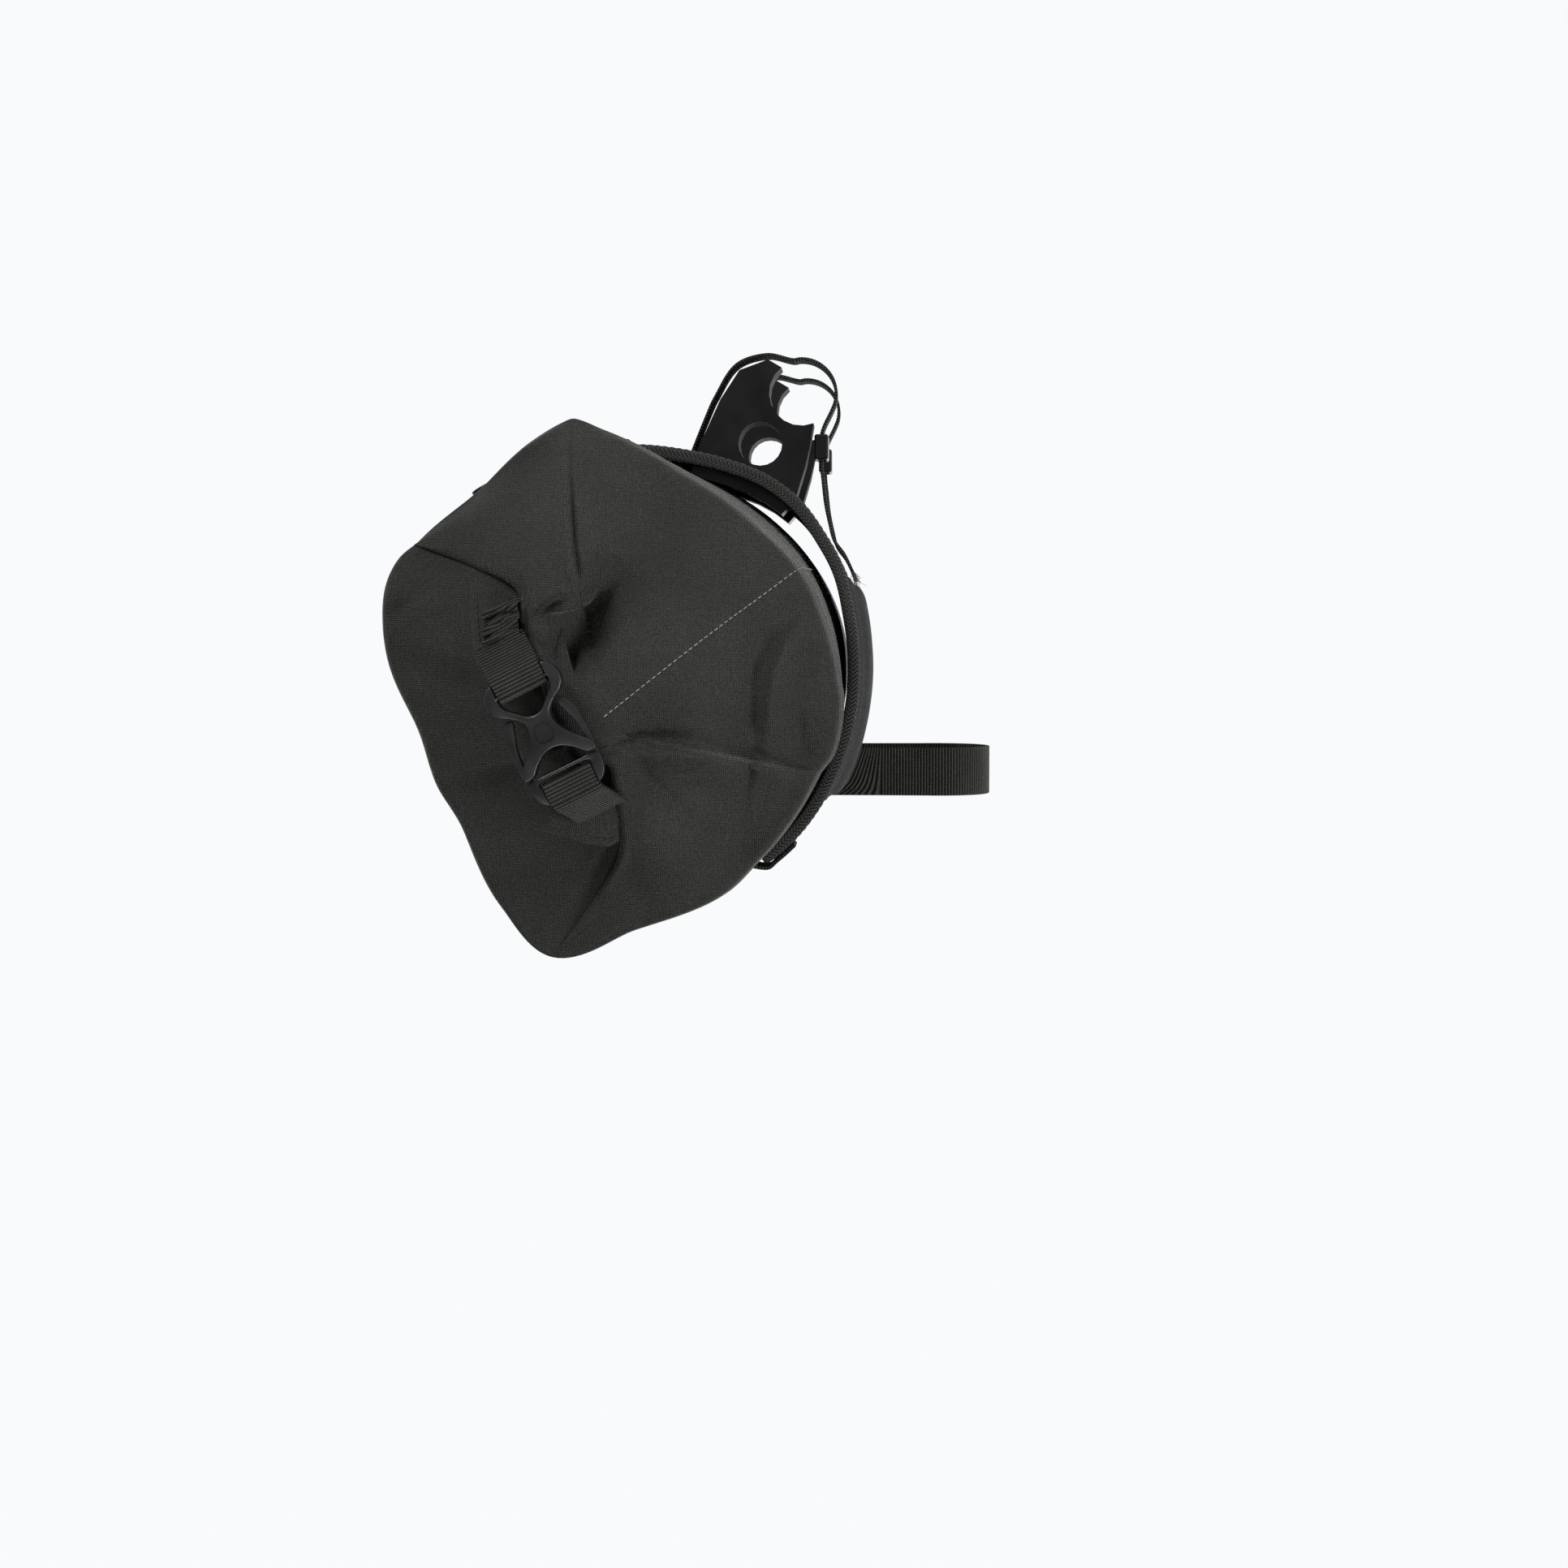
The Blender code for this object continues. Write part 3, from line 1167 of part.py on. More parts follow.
def build():
    clean_scene()
    collection = bpy.data.collections.new(OBJECT_NAME)
    bpy.context.scene.collection.children.link(collection)
    cutters = bpy.data.collections.new("cutters")
    bpy.context.scene.collection.children.link(cutters)

    fabric = make_material("coated_fabric", (0.026, 0.026, 0.024), 0.55)
    webbing = make_material("webbing", (0.020, 0.020, 0.019), 0.75)
    plastic = make_material("black_plastic", (0.018, 0.018, 0.018), 0.42)
    binding = make_material("binding_tape", (0.022, 0.022, 0.020), 0.8)
    harness = make_material("harness_fabric", (0.022, 0.022, 0.021), 0.7)

    make_bag_shell(fabric, collection, cutters)
    make_closure(fabric, webbing, collection)
    make_mouth_buckle(plastic, collection, cutters)
    make_harness(harness, binding, collection)
    make_back_pad(harness, collection)
    for side, sign in (("left", -1), ("right", 1)):
        make_compression_strap(f"compression_{side}", sign * STRAP_SPACING / 2, webbing, plastic, collection)
        make_spacer(f"handlebar_spacer_{side}", sign * SPACER_SPACING / 2, plastic, collection)
        make_bar_strap(f"handlebar_strap_{side}", sign * SPACER_SPACING / 2, webbing, plastic, collection)
    make_tube_strap(webbing, collection)


build()
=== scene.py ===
import math

import bmesh
import bpy
import numpy as np
from mathutils import Matrix, Vector
from mathutils.bvhtree import BVHTree


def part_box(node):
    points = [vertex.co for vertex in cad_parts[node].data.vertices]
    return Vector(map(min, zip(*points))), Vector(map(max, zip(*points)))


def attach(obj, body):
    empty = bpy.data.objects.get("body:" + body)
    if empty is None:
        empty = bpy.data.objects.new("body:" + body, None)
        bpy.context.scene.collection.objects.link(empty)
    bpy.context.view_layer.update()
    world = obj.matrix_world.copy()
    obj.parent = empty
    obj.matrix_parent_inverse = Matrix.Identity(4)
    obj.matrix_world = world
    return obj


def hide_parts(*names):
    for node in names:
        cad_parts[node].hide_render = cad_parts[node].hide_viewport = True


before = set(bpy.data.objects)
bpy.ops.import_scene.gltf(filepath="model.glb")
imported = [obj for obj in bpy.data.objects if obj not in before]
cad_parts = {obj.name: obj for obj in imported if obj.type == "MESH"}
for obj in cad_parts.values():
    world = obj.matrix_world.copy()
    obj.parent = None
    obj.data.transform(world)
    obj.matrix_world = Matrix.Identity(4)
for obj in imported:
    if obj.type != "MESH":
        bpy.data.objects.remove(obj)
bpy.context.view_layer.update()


# Bag body
BAG_RADIUS = 0.105
BAG_LENGTH = 0.400
BAG_DROP = 0.145
BAG_REACH = 0.082
BODY_TALL = 0.035
BODY_TALL_ANGLE = 110.0
FAR_DOME = 0.016

# Folded mouth end
END_HEIGHT = 0.050
SHOULDER_HEIGHT = 0.016
HEM_STEP = 0.0075
HEM_OVERHANG = 0.0035

# Webbing and closure strips
WEBBING_WIDTH = 0.025
MOUTH_WEBBING_WIDTH = 0.0232
WEBBING_THICKNESS = 0.0016
STRIP_THICKNESS = 0.0024
UPPER_WEBBING_REACH = 0.0460
UPPER_WEBBING_DIP = 0.0092
LOWER_WEBBING_REACH = 0.0440
LOWER_WEBBING_DIP = 0.0135

# Side release buckle of the mouth
BUCKLE_LENGTH = 0.058
BUCKLE_WIDTH = 0.036
BUCKLE_BAR_THICKNESS = 0.0034
SOCKET_THICKNESS = 0.0095
PLUG_THICKNESS = 0.0062
PRONG_THICKNESS = 0.0044
PRONG_WIDTH = 0.0036
BUCKLE_LIFT = 0.0085
BUCKLE_ANGLE = 26.6
BUCKLE_SIDE = -0.0238
BUCKLE_DROP = 0.0180

# Harness
HARNESS_WIDTH = 0.200
HARNESS_THICKNESS = 0.0030
BINDING_WIDTH = 0.0055
BINDING_WALL = 0.0013
PAD_WIDTH = 0.120
PAD_THICKNESS = 0.0075

# Compression straps
STRAP_SPACING = 0.174
STRAP_BUCKLE_LENGTH = 0.046
STRAP_BUCKLE_WIDTH = 0.032
STRAP_BUCKLE_THICKNESS = 0.0105
STRAP_BUCKLE_ANGLE = 119.5

# Handlebar and its straps
HANDLEBAR_DIAMETER = 0.0318
SPACER_SPACING = 0.114
BAR_STRAP_WIDTH = 0.020

# Head tube strap
TUBE_STRAP_HEIGHT = 0.025
TUBE_STRAP_LOW = 0.047
TUBE_LOOP_RADIUS = 0.027
TUBE_CENTRE_BACK = 0.1520
TUBE_STRAP_START = 0.1106
TUBE_STRAP_SPREAD = 0.0240

# Fits
GAP = 0.0003
FACET_GAP = 0.0006

# Outline of the near rim, seen from the rider's left: reach is a share of the bag radius.
RIM = [
    {"angle": 4, "reach": 0.984},
    {"angle": 18, "reach": 0.970},
    {"angle": 31, "reach": 0.972},
    {"angle": 49, "reach": 0.955},
    {"angle": 71, "reach": 0.988},
    {"angle": 82, "reach": 1.048},
    {"angle": 92, "reach": 1.120},
    {"angle": 96.5, "reach": 1.166},
    {"angle": 98.4, "reach": 1.180},
    {"angle": 100.5, "reach": 1.172},
    {"angle": 109, "reach": 1.122},
    {"angle": 124, "reach": 1.035},
    {"angle": 142, "reach": 1.057},
    {"angle": 149, "reach": 1.089},
    {"angle": 157, "reach": 1.079},
    {"angle": 171, "reach": 1.002},
    {"angle": 191, "reach": 0.872},
    {"angle": 209, "reach": 0.880},
    {"angle": 223, "reach": 0.903},
    {"angle": 242.5, "reach": 1.073},
    {"angle": 257, "reach": 1.201},
    {"angle": 275, "reach": 1.053},
    {"angle": 300, "reach": 1.011},
    {"angle": 311, "reach": 0.978},
    {"angle": 337, "reach": 0.969},
    {"angle": 344, "reach": 1.001},
    {"angle": 357, "reach": 1.001},
]

# Body sections: along is a share of the length from the near rim, eared how much of the rim outline is kept.
BODY = [
    {"along": 0.0, "eared": 1.0, "girth": 1.0},
    {"along": 0.04, "eared": 0.88, "girth": 1.0},
    {"along": 0.11, "eared": 0.66, "girth": 0.997},
    {"along": 0.19, "eared": 0.42, "girth": 0.990},
    {"along": 0.25, "eared": 0.28, "girth": 0.983},
    {"along": 0.34, "eared": 0.14, "girth": 0.992},
    {"along": 0.50, "eared": 0.05, "girth": 1.0},
    {"along": 0.66, "eared": 0.0, "girth": 0.992},
    {"along": 0.75, "eared": 0.0, "girth": 0.983},
    {"along": 0.86, "eared": 0.0, "girth": 0.997},
    {"along": 1.0, "eared": 0.0, "girth": 0.985},
]

# Far end rows: girth share and share of the far dome.
FAR_END = [
    {"girth": 0.955, "dome": 0.30},
    {"girth": 0.86, "dome": 0.62},
    {"girth": 0.50, "dome": 0.93},
]

# Folded edge of the over layer: across and up are shares of the bag radius, height of the end height.
FOLD_EDGE = [
    {"along": 0.00, "across": -0.861, "up": 0.626, "height": 0.04},
    {"along": 0.10, "across": -0.724, "up": 0.581, "height": 0.26},
    {"along": 0.20, "across": -0.579, "up": 0.527, "height": 0.48},
    {"along": 0.31, "across": -0.370, "up": 0.420, "height": 0.80},
    {"along": 0.38, "across": -0.325, "up": 0.262, "height": 0.94},
    {"along": 0.47, "across": -0.275, "up": 0.076, "height": 1.00},
    {"along": 0.56, "across": -0.208, "up": -0.125, "height": 1.00},
    {"along": 0.65, "across": -0.128, "up": -0.290, "height": 1.00},
    {"along": 0.70, "across": 0.015, "up": -0.305, "height": 1.00},
    {"along": 0.75, "across": 0.032, "up": -0.400, "height": 0.93},
    {"along": 0.82, "across": 0.051, "up": -0.546, "height": 0.80},
    {"along": 0.89, "across": 0.038, "up": -0.712, "height": 0.62},
    {"along": 0.95, "across": -0.109, "up": -0.950, "height": 0.32},
    {"along": 1.00, "across": -0.262, "up": -1.155, "height": 0.03},
]

# Lines of the over layer from the rim to the folded edge, with the point where each bends.
OVER_LINES = [
    {"angle": 144, "edge": 0.0, "shoulder": 0.02, "across": -0.862, "up": 0.626, "height": 0.03},
    {"angle": 131, "edge": 0.10, "shoulder": 0.30, "across": -0.700, "up": 0.700, "height": 0.20},
    {"angle": 117, "edge": 0.20, "shoulder": 0.50, "across": -0.530, "up": 0.730, "height": 0.38},
    {"angle": 105, "edge": 0.29, "shoulder": 0.46, "across": -0.280, "up": 0.640, "height": 0.66},
    {"angle": 98.4, "edge": 0.345, "shoulder": 0.34, "across": -0.105, "up": 0.416, "height": 1.12},
    {"angle": 91, "edge": 0.375, "shoulder": 0.46, "across": -0.015, "up": 0.440, "height": 0.80},
    {"angle": 80, "edge": 0.42, "shoulder": 0.70, "across": 0.090, "up": 0.420, "height": 0.73},
    {"angle": 62, "edge": 0.48, "shoulder": 1.0, "across": 0.200, "up": 0.340, "height": 0.76},
    {"angle": 42, "edge": 0.53, "shoulder": 1.0, "across": 0.300, "up": 0.230, "height": 0.79},
    {"angle": 22, "edge": 0.58, "shoulder": 1.0, "across": 0.370, "up": 0.080, "height": 0.81},
    {"angle": 2, "edge": 0.62, "shoulder": 1.0, "across": 0.410, "up": -0.060, "height": 0.80},
    {"angle": -11, "edge": 0.66, "shoulder": 0.9, "across": 0.410, "up": -0.180, "height": 0.80},
    {"angle": -21, "edge": 0.70, "shoulder": 0.75, "across": 0.380, "up": -0.285, "height": 0.90},
    {"angle": -33, "edge": 0.735, "shoulder": 0.8, "across": 0.380, "up": -0.410, "height": 0.70},
    {"angle": -49, "edge": 0.77, "shoulder": 0.9, "across": 0.330, "up": -0.560, "height": 0.63},
    {"angle": -65, "edge": 0.83, "shoulder": 0.9, "across": 0.235, "up": -0.720, "height": 0.58},
    {"angle": -81, "edge": 0.90, "shoulder": 0.7, "across": 0.100, "up": -0.860, "height": 0.43},
    {"angle": -93, "edge": 0.955, "shoulder": 0.30, "across": -0.080, "up": -1.020, "height": 0.20},
    {"angle": -103, "edge": 1.0, "shoulder": 0.02, "across": -0.263, "up": -1.156, "height": 0.02},
]

# Lines of the under layer at the front, from the rim to its tucked edge.
UNDER_LINES = [
    {"angle": 144, "edge": 0.0, "shoulder": 0.02, "lift": 0.50},
    {"angle": 153, "edge": 0.16, "shoulder": 0.50, "lift": 0.58},
    {"angle": 164, "edge": 0.32, "shoulder": 0.80, "lift": 0.62},
    {"angle": 178, "edge": 0.45, "shoulder": 0.90, "lift": 0.62},
    {"angle": 192, "edge": 0.56, "shoulder": 0.90, "lift": 0.60},
    {"angle": 208, "edge": 0.66, "shoulder": 0.80, "lift": 0.60},
    {"angle": 224, "edge": 0.77, "shoulder": 0.70, "lift": 0.62},
    {"angle": 240, "edge": 0.87, "shoulder": 0.50, "lift": 0.60},
    {"angle": 250, "edge": 0.95, "shoulder": 0.25, "lift": 0.55},
    {"angle": 257, "edge": 1.0, "shoulder": 0.02, "lift": 0.50},
]

# Folds and dents of the end: both ends and the width are shares of the bag radius, rise of the end height.
END_RELIEF = [
    {"from": (0.02, 0.46), "to": (-0.13, 0.16), "width": 0.085, "rise": -0.13},
    {"from": (0.87, 0.10), "to": (0.64, -0.25), "width": 0.10, "rise": -0.10},
    {"from": (0.76, -0.02), "to": (0.72, -0.30), "width": 0.09, "rise": 0.05},
    {"from": (0.22, -0.26), "to": (0.62, -0.73), "width": 0.13, "rise": -0.10},
    {"from": (-0.17, 1.10), "to": (-0.13, 0.60), "width": 0.045, "rise": 0.06},
    {"from": (-0.95, 0.42), "to": (-0.60, 0.34), "width": 0.09, "rise": 0.04},
    {"from": (-0.98, 0.14), "to": (-0.62, 0.02), "width": 0.08, "rise": -0.04},
    {"from": (-0.50, -0.85), "to": (-0.10, -0.62), "width": 0.09, "rise": 0.04},
]

# Overlapping folds of the end. Each path row is across, up and strength, and high is the side that lies on
# top: 1 for the left of the path, -1 for its right. Rises are shares of the end height, widths of the bag
# radius.
END_LIPS = [
    {
        "path": [(-0.185, 1.15, 0.15), (-0.179, 1.0, 0.45), (-0.155, 0.75, 0.8), (-0.132, 0.563, 0.95),
                 (-0.109, 0.419, 1.0), (-0.205, 0.383, 0.7), (-0.299, 0.312, 0.3)],
        "high": -1, "rise": 0.03, "rise_width": 0.06, "dip": 0.15, "dip_width": 0.12, "step": 0.006,
    },
    {
        "path": [(0.027, -0.226, 0.3), (0.147, -0.197, 1.0), (0.277, -0.22, 1.0), (0.443, -0.257, 0.95),
                 (0.573, -0.289, 0.9), (0.747, -0.33, 0.8), (0.904, -0.344, 0.3)],
        "high": -1, "rise": 0.07, "rise_width": 0.10, "dip": 0.10, "dip_width": 0.12, "step": 0.008,
    },
    {
        "path": [(0.833, 0.317, 0.2), (0.737, 0.237, 0.8), (0.676, 0.086, 1.0), (0.643, -0.145, 1.0),
                 (0.625, -0.278, 0.6)],
        "high": 1, "rise": 0.09, "rise_width": 0.11, "dip": 0.07, "dip_width": 0.13, "step": 0.030,
    },
    {
        "path": [(0.172, -0.228, 0.4), (0.195, -0.344, 1.0), (0.308, -0.47, 1.0), (0.524, -0.619, 0.3)],
        "high": 1, "rise": 0.035, "rise_width": 0.10, "dip": 0.04, "dip_width": 0.09, "step": 0.025,
    },
]


# Outer surface of the harness near edge: angle from the back of the bag, reach a share of its radius.
HARNESS = [
    {"angle": -54, "reach": 1.040},
    {"angle": -44, "reach": 1.040},
    {"angle": -23, "reach": 1.034},
    {"angle": -1, "reach": 1.046},
    {"angle": 17, "reach": 1.074},
    {"angle": 29, "reach": 1.112},
    {"angle": 38, "reach": 1.128},
    {"angle": 48, "reach": 1.150},
    {"angle": 58, "reach": 1.146},
    {"angle": 68, "reach": 1.124},
    {"angle": 78, "reach": 1.108},
    {"angle": 88, "reach": 1.106},
    {"angle": 100, "reach": 1.110},
]
HARNESS_TOP = 100.0
HARNESS_BOTTOM = -54.0
PAD_TOP = 27.0
PAD_BOTTOM = -33.0

# Half outline of the buckle socket: along and aside are shares of the buckle length and width.
SOCKET_OUTLINE = [
    {"along": -0.500, "aside": 0.27},
    {"along": -0.500, "aside": 0.37},
    {"along": -0.455, "aside": 0.45},
    {"along": -0.370, "aside": 0.495},
    {"along": -0.305, "aside": 0.475},
    {"along": -0.250, "aside": 0.40},
    {"along": -0.215, "aside": 0.29},
    {"along": -0.150, "aside": 0.17},
    {"along": -0.060, "aside": 0.165},
    {"along": 0.025, "aside": 0.23},
    {"along": 0.100, "aside": 0.335},
    {"along": 0.180, "aside": 0.465},
    {"along": 0.240, "aside": 0.49},
    {"along": 0.262, "aside": 0.47},
    {"along": 0.258, "aside": 0.36},
    {"along": 0.185, "aside": 0.255},
    {"along": 0.130, "aside": 0.13},
    {"along": 0.112, "aside": 0.0},
]
SOCKET_WINDOW = [
    {"along": -0.405, "aside": 0.0},
    {"along": -0.405, "aside": 0.345},
    {"along": -0.310, "aside": 0.330},
    {"along": -0.255, "aside": 0.235},
    {"along": -0.175, "aside": 0.100},
    {"along": -0.160, "aside": 0.0},
]
PLUG_OUTLINE = [
    {"along": 0.275, "aside": 0.0},
    {"along": 0.275, "aside": 0.30},
    {"along": 0.275, "aside": 0.49},
    {"along": 0.380, "aside": 0.475},
    {"along": 0.450, "aside": 0.430},
    {"along": 0.500, "aside": 0.330},
    {"along": 0.500, "aside": 0.0},
]
PLUG_WINDOW = [
    {"along": 0.300, "aside": 0.0},
    {"along": 0.300, "aside": 0.350},
    {"along": 0.370, "aside": 0.350},
    {"along": 0.385, "aside": 0.0},
]
PRONG_PATH = [
    {"along": 0.300, "aside": 0.440},
    {"along": 0.130, "aside": 0.455},
    {"along": -0.040, "aside": 0.430},
    {"along": -0.130, "aside": 0.390},
    {"along": -0.205, "aside": 0.330},
]

# Ends of the mouth's stiff strip: left and right edge of each row as across, up and height shares.
UPPER_STRIP = [
    {"left": (-0.570, 0.515, 0.402), "right": (-0.372, 0.395, 0.72)},
    {"left": (-0.580, 0.400, 0.60), "right": (-0.375, 0.300, 0.82)},
    {"left": (-0.555, 0.200, 0.78), "right": (-0.355, 0.215, 0.93)},
    {"left": (-0.535, 0.090, 0.84), "right": (-0.350, 0.175, 0.97)},
]
LOWER_STRIP = [
    {"left": (0.050, -0.480, 0.800), "right": (0.058, -0.630, 0.665)},
    {"left": (-0.020, -0.460, 0.88), "right": (0.000, -0.655, 0.72)},
    {"left": (-0.215, -0.475, 0.95), "right": (-0.255, -0.585, 0.88)},
]

# Gathered start of the upper webbing in its buckle's frame, as shares of the buckle length.
GATHER = [
    {"along": -1.050, "aside": 0.120, "height": -0.225},
    {"along": -0.990, "aside": 0.095, "height": -0.160},
    {"along": -0.955, "aside": 0.080, "height": -0.205},
    {"along": -0.895, "aside": 0.050, "height": -0.120},
    {"along": -0.860, "aside": 0.035, "height": -0.165},
    {"along": -0.825, "aside": 0.010, "height": -0.095},
]


# Side line of the handlebar strap in shares of the handlebar radius, from the front foot over the bar to
# the tail.
BAR_STRAP_FOOT = 77.0
BAR_STRAP_FRONT = [
    {"back": -3.02, "up": -0.76},
    {"back": -2.72, "up": -0.10},
    {"back": -2.06, "up": 0.90},
    {"back": -1.10, "up": 1.22},
]
BAR_STRAP_TAIL = [
    {"back": 0.64, "up": -1.25},
    {"back": 0.62, "up": -2.10},
    {"back": 0.68, "up": -2.75},
    {"back": 0.76, "up": -3.45},
    {"back": 0.90, "up": -4.12},
    {"back": 1.04, "up": -4.62},
    {"back": 1.35, "up": -5.05},
    {"back": 1.63, "up": -5.63},
]


# Fine columns and rows of the visible bag
FINE_OVER = [
    (144, 104, 34), (104, 101.4, 8), (101.4, 95.4, 40), (95.4, 86, 16), (86, -17, 88), (-17, -25, 40),
    (-25, -103, 68),
]
FINE_UNDER = [(144, 257, 110)]
FINE_BODY_ROWS = 56
FINE_END_ROWS = 84
CURL_ROWS = 8
RETURN_LENGTH = 0.012

# Fine folds of the end, on top of the main ones: widths are shares of the bag radius, rises of the end
# height.
FINE_FOLDS = [
    {"from": (-0.06, 0.38), "to": (-0.16, 0.15), "width": 0.062, "rise": -0.20},
    {"from": (0.80, -0.12), "to": (0.82, -0.25), "width": 0.035, "rise": -0.06},
    {"from": (-0.98, 0.30), "to": (-0.80, 0.42), "width": 0.040, "rise": -0.03},
    {"from": (-0.30, -1.02), "to": (-0.02, -0.66), "width": 0.035, "rise": 0.03},
    {"from": (0.15, -0.98), "to": (0.05, -0.72), "width": 0.07, "rise": -0.03},
    {"from": (-0.08, 1.02), "to": (0.02, 0.62), "width": 0.060, "rise": 0.035},
]

# Sharper creases of the same overlaps as END_LIPS.
FINE_LIPS = [
    {"path": [(-0.170, 1.000, 0.2), (-0.155, 0.750, 0.8), (-0.132, 0.563, 1.0), (-0.112, 0.440, 0.9)],
     "high": -1, "rise": 0.10, "rise_width": 0.28, "dip": 0.03, "dip_width": 0.15, "step": 0.006},
    {"path": [
        (0.10, -0.200, 0.2), (0.277, -0.220, 1.0), (0.443, -0.257, 1.0), (0.573, -0.289, 1.0),
        (0.747, -0.330, 0.9),
        (0.904, -0.344, 0.2),
    ], "high": -1, "rise": 0.085, "rise_width": 0.15, "dip": 0.05, "dip_width": 0.09, "step": 0.016},
    {"path": [
        (0.833, 0.317, 0.2), (0.737, 0.237, 0.8), (0.676, 0.086, 1.0), (0.643, -0.130, 1.0),
        (0.630, -0.225, 0.2),
    ], "high": 1, "rise": 0.06, "rise_width": 0.11, "dip": 0.14, "dip_width": 0.15, "step": 0.045},
]

# Camera of the photograph
CAMERA_PLACE = (0.035, -1.401, -0.115)
CAMERA_YAW = 1.88
CAMERA_PITCH = -3.48
LENS_MM = 60.7
SENSOR_MM = 36.0

WEAVE_PITCH = 0.00088
WEAVE_CONTRAST = 0.78
WEAVE_DRIFT = 0.00032
RIB_PITCH = 0.00156
FLOOR_LEVEL = -1.02
PAPER_TONE = 0.985
PAPER_COLOUR = (0.95, 0.96, 0.98, 1.0)


def hermite(xs, ys, at):
    """Smooth values at many places through the rows of a table; ys may hold several columns."""
    xs = np.asarray(xs, float)
    ys = np.asarray(ys, float)
    if ys.ndim == 1:
        return hermite(xs, ys[:, None], at)[:, 0]
    low = np.maximum(np.arange(len(xs)) - 1, 0)
    high = np.minimum(np.arange(len(xs)) + 1, len(xs) - 1)
    slopes = (ys[high] - ys[low]) / (xs[high] - xs[low])[:, None]
    at = np.clip(np.asarray(at, float), xs[0], xs[-1])
    i = np.clip(np.searchsorted(xs, at, side="right") - 1, 0, len(xs) - 2)
    span = (xs[i + 1] - xs[i])[:, None]
    t = (at - xs[i])[:, None] / span
    return (
        ys[i] * (1 + 2 * t) * (1 - t) ** 2
        + slopes[i] * span * t * (1 - t) ** 2
        + ys[i + 1] * t * t * (3 - 2 * t)
        + slopes[i + 1] * span * t * t * (t - 1)
    )


def columns(rows, key, values, at, period=None):
    """Smooth values of named columns at many places along another column."""
    xs = [row[key] for row in rows]
    ys = [[row[value] for value in values] for row in rows]
    if xs[0] > xs[-1]:
        xs.reverse()
        ys.reverse()
    at = np.asarray(at, float)
    if period:
        at = xs[0] + (at - xs[0]) % period
        xs = [xs[-1] - period, *xs, xs[0] + period, xs[1] + period]
        ys = [ys[-1], *ys, ys[0], ys[1]]
    return hermite(xs, ys, at)


def spread(spans):
    angles = []
    for start, end, count in spans:
        angles += [start + (end - start) * i / count for i in range(count)]
    return np.array([*angles, spans[-1][1]])


def body_reach(angles, along):
    eared, girth = columns(BODY, "along", ("eared", "girth"), [along])[0]
    rim = columns(RIM, "angle", ("reach",), angles, 360)[:, 0]
    tall = 1.0 + BODY_TALL * np.cos(np.radians(np.asarray(angles) - BODY_TALL_ANGLE))
    return BAG_RADIUS * girth * (eared * rim + (1 - eared) * tall)


def around(angles, reach, y):
    turn = np.radians(np.asarray(angles, float))
    reach = np.asarray(reach, float)
    return np.stack([
        reach * np.cos(turn) - BAG_REACH,
        np.broadcast_to(np.asarray(y, float), turn.shape),
        reach * np.sin(turn) - BAG_DROP,
    ], axis=-1)


def end_points(shares):
    shares = np.asarray(shares)
    return np.stack([
        shares[..., 0] * BAG_RADIUS - BAG_REACH,
        -BAG_LENGTH / 2 - shares[..., 2] * END_HEIGHT,
        shares[..., 1] * BAG_RADIUS - BAG_DROP,
    ], axis=-1)


def fold_points(edges):
    return columns(FOLD_EDGE, "along", ("across", "up", "height"), edges)


def hem_ramps(edges):
    return np.clip(np.minimum(edges / 0.12, (1 - edges) / 0.12), 0, 1)


def fold_sides(edges):
    """Unit direction from the folded edge toward the over layer, in the end's plane."""
    run = fold_points(np.clip(edges + 0.012, 0, 1)) - fold_points(np.clip(edges - 0.012, 0, 1))
    side = np.stack([-run[:, 1], run[:, 0]], axis=1)
    return side / np.maximum(np.linalg.norm(side, axis=1), 1e-9)[:, None]


def reliefs(points, folds):
    rise = np.zeros(len(points))
    for fold in folds:
        start = np.array(fold["from"])
        run = np.array(fold["to"]) - start
        share = np.clip(((points[:, :2] - start) @ run) / (run @ run), 0, 1)
        away = np.linalg.norm(points[:, :2] - start - share[:, None] * run, axis=1) / fold["width"]
        rise += fold["rise"] * np.exp(-away * away)
    return rise


def lips(points):
    """Rise of overlapping folds: a step across each path, falling off to both sides."""
    rise = np.zeros(len(points))
    for lip in END_LIPS + FINE_LIPS:
        path = np.array(lip["path"])
        best = np.full(len(points), 1e9)
        signed = np.zeros(len(points))
        strength = np.zeros(len(points))
        for start, end in zip(path, path[1:]):
            run = end[:2] - start[:2]
            share = ((points[:, :2] - start[:2]) @ run) / (run @ run)
            clipped = np.clip(share, 0, 1)
            away = points[:, :2] - start[:2] - clipped[:, None] * run
            distance = np.linalg.norm(away, axis=1)
            side = run[0] * (points[:, 1] - start[1]) - run[1] * (points[:, 0] - start[0])
            nearer = distance < best - 1e-9
            best = np.where(nearer, distance, best)
            signed = np.where(nearer, np.sign(side) * distance, signed)
            strength = np.where(nearer, start[2] + (end[2] - start[2]) * clipped, strength)
        signed = signed * lip["high"]
        over = 0.5 + 0.5 * np.tanh(signed / lip["step"])
        high = lip["rise"] * np.exp(-(best / lip["rise_width"]) ** 2)
        low = -lip["dip"] * np.exp(-best / lip["dip_width"])
        beyond = np.clip((np.linalg.norm(points[:, :2] - path[0, :2], axis=1)) / 0.05, 0, 1)
        beyond *= np.clip((np.linalg.norm(points[:, :2] - path[-1, :2], axis=1)) / 0.05, 0, 1)
        rise += strength * (over * high + (1 - over) * low) * beyond
    return rise


def rims(angles):
    reach = columns(RIM, "angle", ("reach",), angles, 360)[:, 0]
    turn = np.radians(angles)
    return np.stack([reach * np.cos(turn), reach * np.sin(turn), np.zeros(len(turn))], axis=1)


